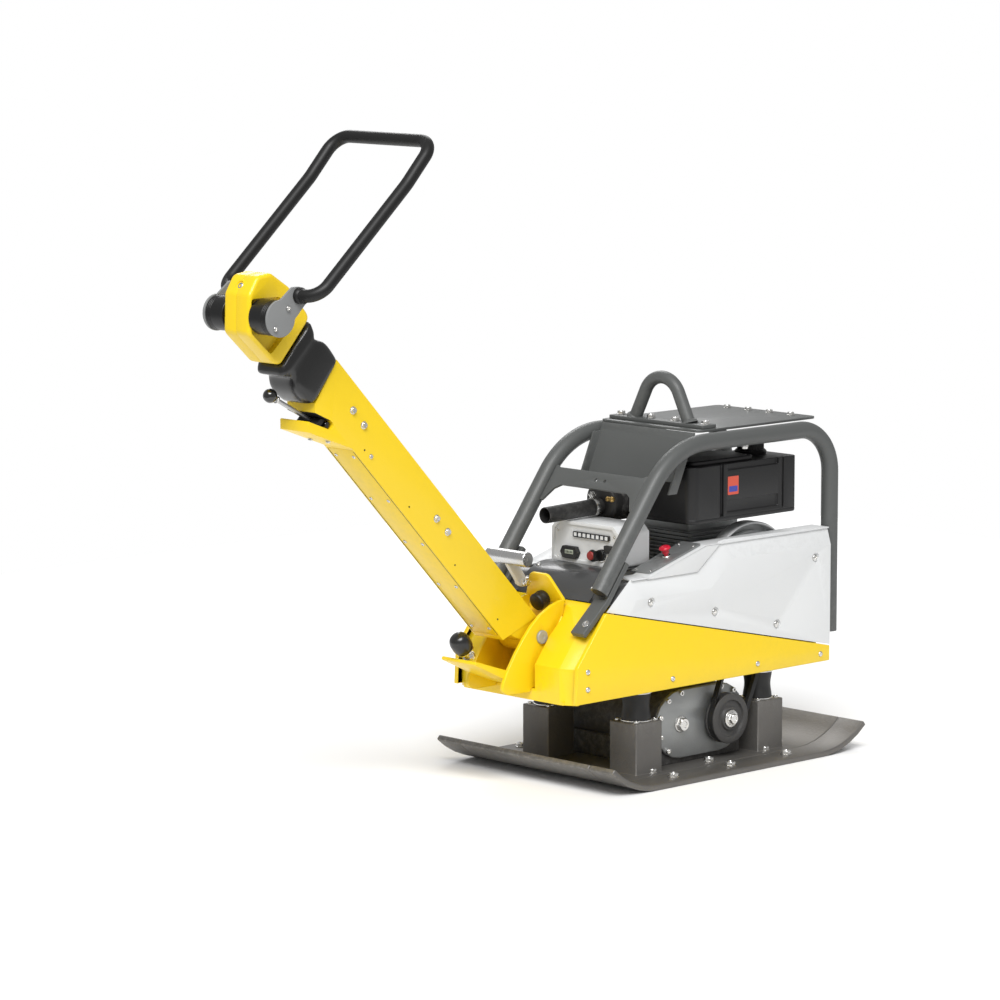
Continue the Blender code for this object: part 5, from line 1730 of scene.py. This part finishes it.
@dataclass
class GuidePole:
    """Box-section pole with its cover plate, bolts, release lever, boot and head."""

    frame: PoleFrame
    half: float = 48
    pin_at: tuple[float, float] = (861, -86)
    ball_at: tuple[float, float] = (1009, -133)
    ball_r: float = 0.0165
    boot_sides: int = 48
    boot_power: float = 0.3
    hub: tuple[float, float] = (-1306, 1183)
    bolt_at: tuple[float, float] = (-1326, 1249)

    def build(self) -> None:
        """Build everything that swings with the pole."""
        ease("guide_pole", YELLOW, Body.POLE, 0.003, 3, 28)
        ease("pole_cover", YELLOW, Body.POLE, 0.001, 2, 40)
        self.bolts()
        self.lever()
        self.boot()
        self.head()

    def bolts(self) -> None:
        """Side bolts, rivets and cover screws, lip bolts, and the seam along each lower edge."""
        for side in Side:
            sign = side.value
            for x, z, size in ((-1037, 951, 7.5), (-1004, 914, 7.5), (-777, 676, 7.5), (-742, 641, 7.5),
                               (-982, 840, 4.5)):
                BOLTS.add(vec(x, sign * self.half, z), (0, sign, 0), size, body=Body.POLE)
            seam = [self.frame.at(s, -78.2, sign * 43.35) for s in (100, 760)]
            piece(f"pole_seam_{side.tag}", sweep(seam, (0.0006, 0.0006), 8), ENAMEL, Body.POLE)
            for s in (130, 330, 540, 740):
                BOLTS.add(self.frame.at(s, -55, sign * self.half), (0, sign, 0), 2.2, Fastener.RIVET, ENAMEL,
                          Body.POLE)
        for s in (120, 275, 430, 585, 740):
            for y in (-30, 30):
                BOLTS.add(self.frame.at(s, -78, y), -self.frame.out, 5, Fastener.BUTTON, ZINC, Body.POLE)
        for y in (-30, 30):
            slope = self.frame.along * -0.4416 - self.frame.out * 0.8974
            BOLTS.add(self.frame.at(826, -104.6, y), slope, 5.5, body=Body.POLE)

    def lever(self) -> None:
        """Release lever: cross pin, rod with a lock nut and ball knob, and the lining of its slot."""
        pin, ball = self.frame.at(*self.pin_at), self.frame.at(*self.ball_at)
        toward = (ball - pin).normalized()
        length = (ball - pin).length
        cross = [(0, -0.04), (0.0068, -0.04), (0.0075, -0.0392), (0.0075, 0.0392), (0.0068, 0.04), (0, 0.04)]
        shaft = [(0, 0), (0.005, 0), (0.005, length - 0.026), (0.0042, length - 0.024),
                 (0.0042, length - 0.0105), (0, length - 0.0105)]
        piece("lever_rod_skin", lathe(shaft, pin, toward, 32), CHROME, Body.LEVER, replaces=("lever_rod",),
              smooth=45)
        piece("lever_pin", lathe(cross, pin, Y_AXIS, 40), KNOB, Body.LEVER)
        for side in Side:
            low, high = sorted((side.value * 9, side.value * 36))
            guide = self.frame.slab([(884, -87), (872, -82), (872, -99), (884, -104)], low, high)
            piece(f"slot_guide_{side.tag}", guide, PLASTIC, Body.POLE)
        for name, outline in (("upper", [(914, -95.3), (866, -76.4), (866.2, -77.1), (914, -96)]),
                              ("lower", [(911, -120.5), (866, -98.6), (865.8, -97.9), (911, -119.8)])):
            piece("slot_lining_" + name, self.frame.slab(outline, -47, 47), PLASTIC, Body.POLE)
        BOLTS.add(ball - toward * 0.0215, toward, 7, Fastener.NUT, ZINC, Body.LEVER)
        turn = [math.radians(a) for a in range(22, 178, 6)]
        profile = [(self.ball_r * math.sin(a), -self.ball_r * math.cos(a)) for a in turn]
        profile.append((0.0, self.ball_r))
        start = [(0, -0.017), (0.0065, -0.017), (0.0072, -0.0162)]
        piece("ball_knob_skin", lathe(start + profile, ball, toward, 48), KNOB, Body.LEVER,
              replaces=("ball_knob",), smooth=60)

    def boot(self) -> None:
        """Moulded rubber boot: collar under the head, waist, bulging box and rolled hem."""
        rings = [((1071, 47), (1063.5, -84), 42.5), ((1062, 45), (1058, -92), 46),
                 ((1048, 38), (1049, -100), 49.5),
                 ((1042, 34), (1043, -101), 50), ((1037, 29), (1036, -95), 49),
                 ((1030, 26), (1024, -85), 48.5),
                 ((1024, 28), (1016, -83), 49.5), ((1012, 36.5), (1008, -86), 54),
                 ((1000, 39), (998, -92), 56),
                 ((985, 38.5), (985, -97.5), 57), ((968, 37), (960, -96), 57), ((955, 35.5), (938, -92), 56),
                 ((953, 34), (933, -88), 54)]
        count, power = self.boot_sides, self.boot_power
        soft = [(math.copysign(abs(c) ** power, c), math.copysign(abs(d) ** power, d))
                for c, d in turns(count)]
        loops = []
        for upper, lower, half in rings:
            top, low = self.frame.at(*upper), self.frame.at(*lower)
            centre, arm = (top + low) / 2, (top - low) / 2
            loops.append([centre + arm * a + Vector((0, half * MM * b, 0)) for a, b in soft])
        piece("boot_skin", loft(loops), BOOT, Body.POLE, replaces=("boot",), subdivide=1, smooth=60)

    def head(self) -> None:
        """Two cast half shells, each with a sunk window, and their clamping bolt in its boss."""
        outline = [(-1316, 1273), (-1341, 1233), (-1344, 1145), (-1269, 1075), (-1248, 1070), (-1158, 1171),
                   (-1221, 1244), (-1275, 1279)]
        soft = in_metres(round_outline(outline, 22, 7))
        window = [(-1254, 1224), (-1335, 1224), (-1335, 1147), (-1279, 1096), (-1205, 1165), (-1216, 1195)]
        hub = vec(self.hub[0], 0, self.hub[1])
        for side in Side:
            sign = side.value
            steps = [(0.0, 0.0003), (0.0, 0.035)]
            steps += [(0.009 * (1 - math.cos(a)), 0.035 + 0.009 * math.sin(a))
                      for a in (math.radians(15 * k) for k in range(1, 7))]
            shell = loft([[Vector((a, sign * y, b)) for a, b in shrunk(soft, depth)] for depth, y in steps])
            sunk = side_sheet(round_outline(window, 9, 5), sign, 27, 70)
            bore = drum(0.0306, 0.003, 0.06, hub, Vector((0, sign, 0)), 64)
            name = "head_shell_" + side.tag
            piece(name + "_skin", cut(shell, [sunk, bore]), YELLOW, Body.POLE, Edge(0.0018, 3, 50), (name,),
                  smooth=40)
        axis, place = Vector((-0.91, 0, 0.41)).normalized(), vec(self.bolt_at[0], 0, self.bolt_at[1])
        boss = [(0, -0.02), (0.017, -0.02), (0.0165, 0.002), (0.0155, 0.0045), (0.0135, 0.005),
                (0.0115, 0.005), (0.011, 0.001), (0, 0.001)]
        piece("head_bolt_boss", lathe(boss, place, axis, 48), YELLOW, Body.POLE)
        BOLTS.add(place + axis * 0.001, axis, 9, Fastener.BUTTON, ZINC, Body.POLE)


@dataclass
class ControlBow:
    """Hub through the head, an arm plate at each end and the bent bow between them."""

    hub: tuple[float, float] = (-1306, 1183)
    hub_r: float = 0.04
    tube_r: float = 0.015
    end_at: tuple[float, float] = (-1252, 1231)

    def build(self) -> None:
        """Build the hub, the plates and the bow."""
        place = vec(self.hub[0], 0, self.hub[1])
        profile = [(0, 0.104), (0.038, 0.104), (self.hub_r, 0.102)]
        for i in range(3):
            y = 0.098 - i * 0.005
            profile += [(self.hub_r, y), (0.0392, y - 0.0008), (0.0392, y - 0.0016), (self.hub_r, y - 0.0024)]
        profile += [(self.hub_r, 0.046), (0.039, 0.045), (0.03, 0.045)]
        profile += [(r, -h) for r, h in reversed(profile)]
        piece("control_hub_skin", lathe(profile, place, Y_AXIS, 72), HUB_BLACK, Body.BOW,
              replaces=("control_hub",), smooth=25)
        corners = [((-1252, -118, 1231), 0.0), ((-1240, -164, 1231), 0.042), ((-975, -164, 1468), 0.2),
                   ((-890, -164, 1560), 0.045)]
        path = [(vec(*c), bend) for c, bend in corners]
        path += [(Vector((c.x, -c.y, c.z)), bend) for c, bend in reversed(path)]
        bent_tube("control_bow_skin", path, self.tube_r, ENAMEL, Body.BOW, ("control_bow",), 40, 12)
        for side in Side:
            self.arm(side, place)

    def arm(self, side: Side, place: Vector) -> None:
        """Round arm plate with its tab and two screws, and the plug and boss at the tube's end.

        Args:
            side: which side.
            place: the hub's middle.
        """
        sign = side.value
        x, z = self.hub
        plate = arc(x, z, 42, 90, 355, 40) + [(-1232, 1211), (-1231, 1232), (-1250, 1251), (-1272, 1251)]
        data = side_sheet(round_outline(plate, 7, 3), sign, 104.3, 110)
        piece(f"arm_plate_{side.tag}", data, ARM_GREY, Body.BOW, Edge(0.0012, 3, 40))
        end_x, end_z = self.end_at
        dome = [(15 * math.cos(math.radians(a)), 2 + 7 * math.sin(math.radians(a))) for a in range(0, 91, 10)]
        profile = [(0, -14), (15, -14)] + dome[:-1] + [(0, 9)]
        plug = lathe(in_metres(profile), vec(end_x, sign * 118, end_z), Vector((-0.25, sign * -0.9, 0.35)),
                     40)
        piece(f"bow_end_{side.tag}", plug, ENAMEL, Body.BOW, smooth=50)
        boss = [(0, -0.0068), (0.019, -0.0068), (0.019, -0.001), (0.0165, 0.003), (0.015, 0.0045),
                (0, 0.0045)]
        piece(f"bow_boss_{side.tag}", lathe(boss, vec(end_x, sign * 117, end_z), Vector((0, sign, 0)), 40),
              ENAMEL, Body.BOW, smooth=45)
        for dx, dz in ((19, 22), (-19, -22)):
            BOLTS.add(place + vec(dx, sign * 110, dz), (0, sign, 0), 5.5, Fastener.SOCKET, ZINC, Body.BOW)


# ---------------- studio
@dataclass
class Studio:
    """Pale floor, soft lights and the camera."""

    look_back: tuple[float, float, float] = (-0.6879, -0.7123, 0.1392)
    place: tuple[float, float, float] = (-7.7935, -7.5259, 2.1609)
    lens: float = 160.56
    sky: float = 0.42
    reach: float = 3.4
    aim: tuple[float, float, float] = (-0.3, 0, 0.6)

    def build(self) -> None:
        """Set the stage."""
        bpy.context.scene.view_settings.view_transform = "Standard"
        self.floor()
        self.lights()
        data = bpy.data.cameras.new("camera")
        data.lens, data.sensor_width = self.lens, 36.0
        data.clip_end = 60
        camera = bpy.data.objects.new("camera", data)
        bpy.context.scene.collection.objects.link(camera)
        camera.location = self.place
        camera.rotation_euler = Vector(self.look_back).to_track_quat("Z", "Y").to_euler()
        bpy.context.scene.camera = camera

    def floor(self) -> None:
        """Plain pale floor, its middle under the machine."""
        mesh = bpy.data.meshes.new("floor")
        corners = rectangle(-self.reach, -self.reach, self.reach, self.reach)
        mesh.from_pydata([(x, y, 0) for x, y in corners], [], [(0, 1, 2, 3)])
        paint = bpy.data.materials.new("floor_paint")
        paint.use_nodes = True
        shader = paint.node_tree.nodes["Principled BSDF"]
        shader.inputs["Base Color"].default_value = (0.93, 0.93, 0.93, 1)
        shader.inputs["Roughness"].default_value = 0.9
        shader.inputs["Specular IOR Level"].default_value = 0.1
        mesh.materials.append(paint)
        floor = bpy.data.objects.new("floor", mesh)
        bpy.context.scene.collection.objects.link(floor)

    def lights(self) -> None:
        """White backdrop, a soft sky, a broad sun and two panels for highlights."""
        world = bpy.data.worlds.new("studio")
        world.use_nodes = True
        nodes, links = world.node_tree.nodes, world.node_tree.links
        sky = nodes["Background"]
        sky.inputs["Color"].default_value = (1, 1, 1, 1)
        path, level = nodes.new("ShaderNodeLightPath"), nodes.new("ShaderNodeMapRange")
        level.inputs["To Min"].default_value, level.inputs["To Max"].default_value = self.sky, 1.0
        links.new(path.outputs["Is Camera Ray"], level.inputs["Value"])
        links.new(level.outputs["Result"], sky.inputs["Strength"])
        bpy.context.scene.world = world
        for name, kind, spot, size, power in (
                ("sun", "SUN", (-3.0, -3.4, 5.5), 0.5, 2.3), ("key", "AREA", (-4.2, -1.5, 4.6), 2.2, 90),
                ("back", "AREA", (2.5, 3.6, 4.0), 2.5, 90)):
            data = bpy.data.lights.new(name, kind)
            data.energy = power
            if kind == "SUN":
                data.angle = size
            else:
                data.size = size
            lamp = bpy.data.objects.new(name, data)
            bpy.context.scene.collection.objects.link(lamp)
            lamp.location = spot
            lamp.rotation_euler = (Vector(spot) - Vector(self.aim)).to_track_quat("Z", "Y").to_euler()


def main() -> None:
    """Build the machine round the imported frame, then the studio."""
    logging.basicConfig(level=logging.INFO, format="%(name)s: %(message)s")
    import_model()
    pole = PoleFrame()
    for part in (LowerMass(), Covers(), ControlPanel(), Engine(), FuelTank(), GuardFrame(), PoleBracket(pole),
                 GuidePole(pole), ControlBow()):
        part.build()
        LOG.info("%s finished", type(part).__name__)
    BOLTS.build()
    Studio().build()


if __name__ == "__main__":
    main()
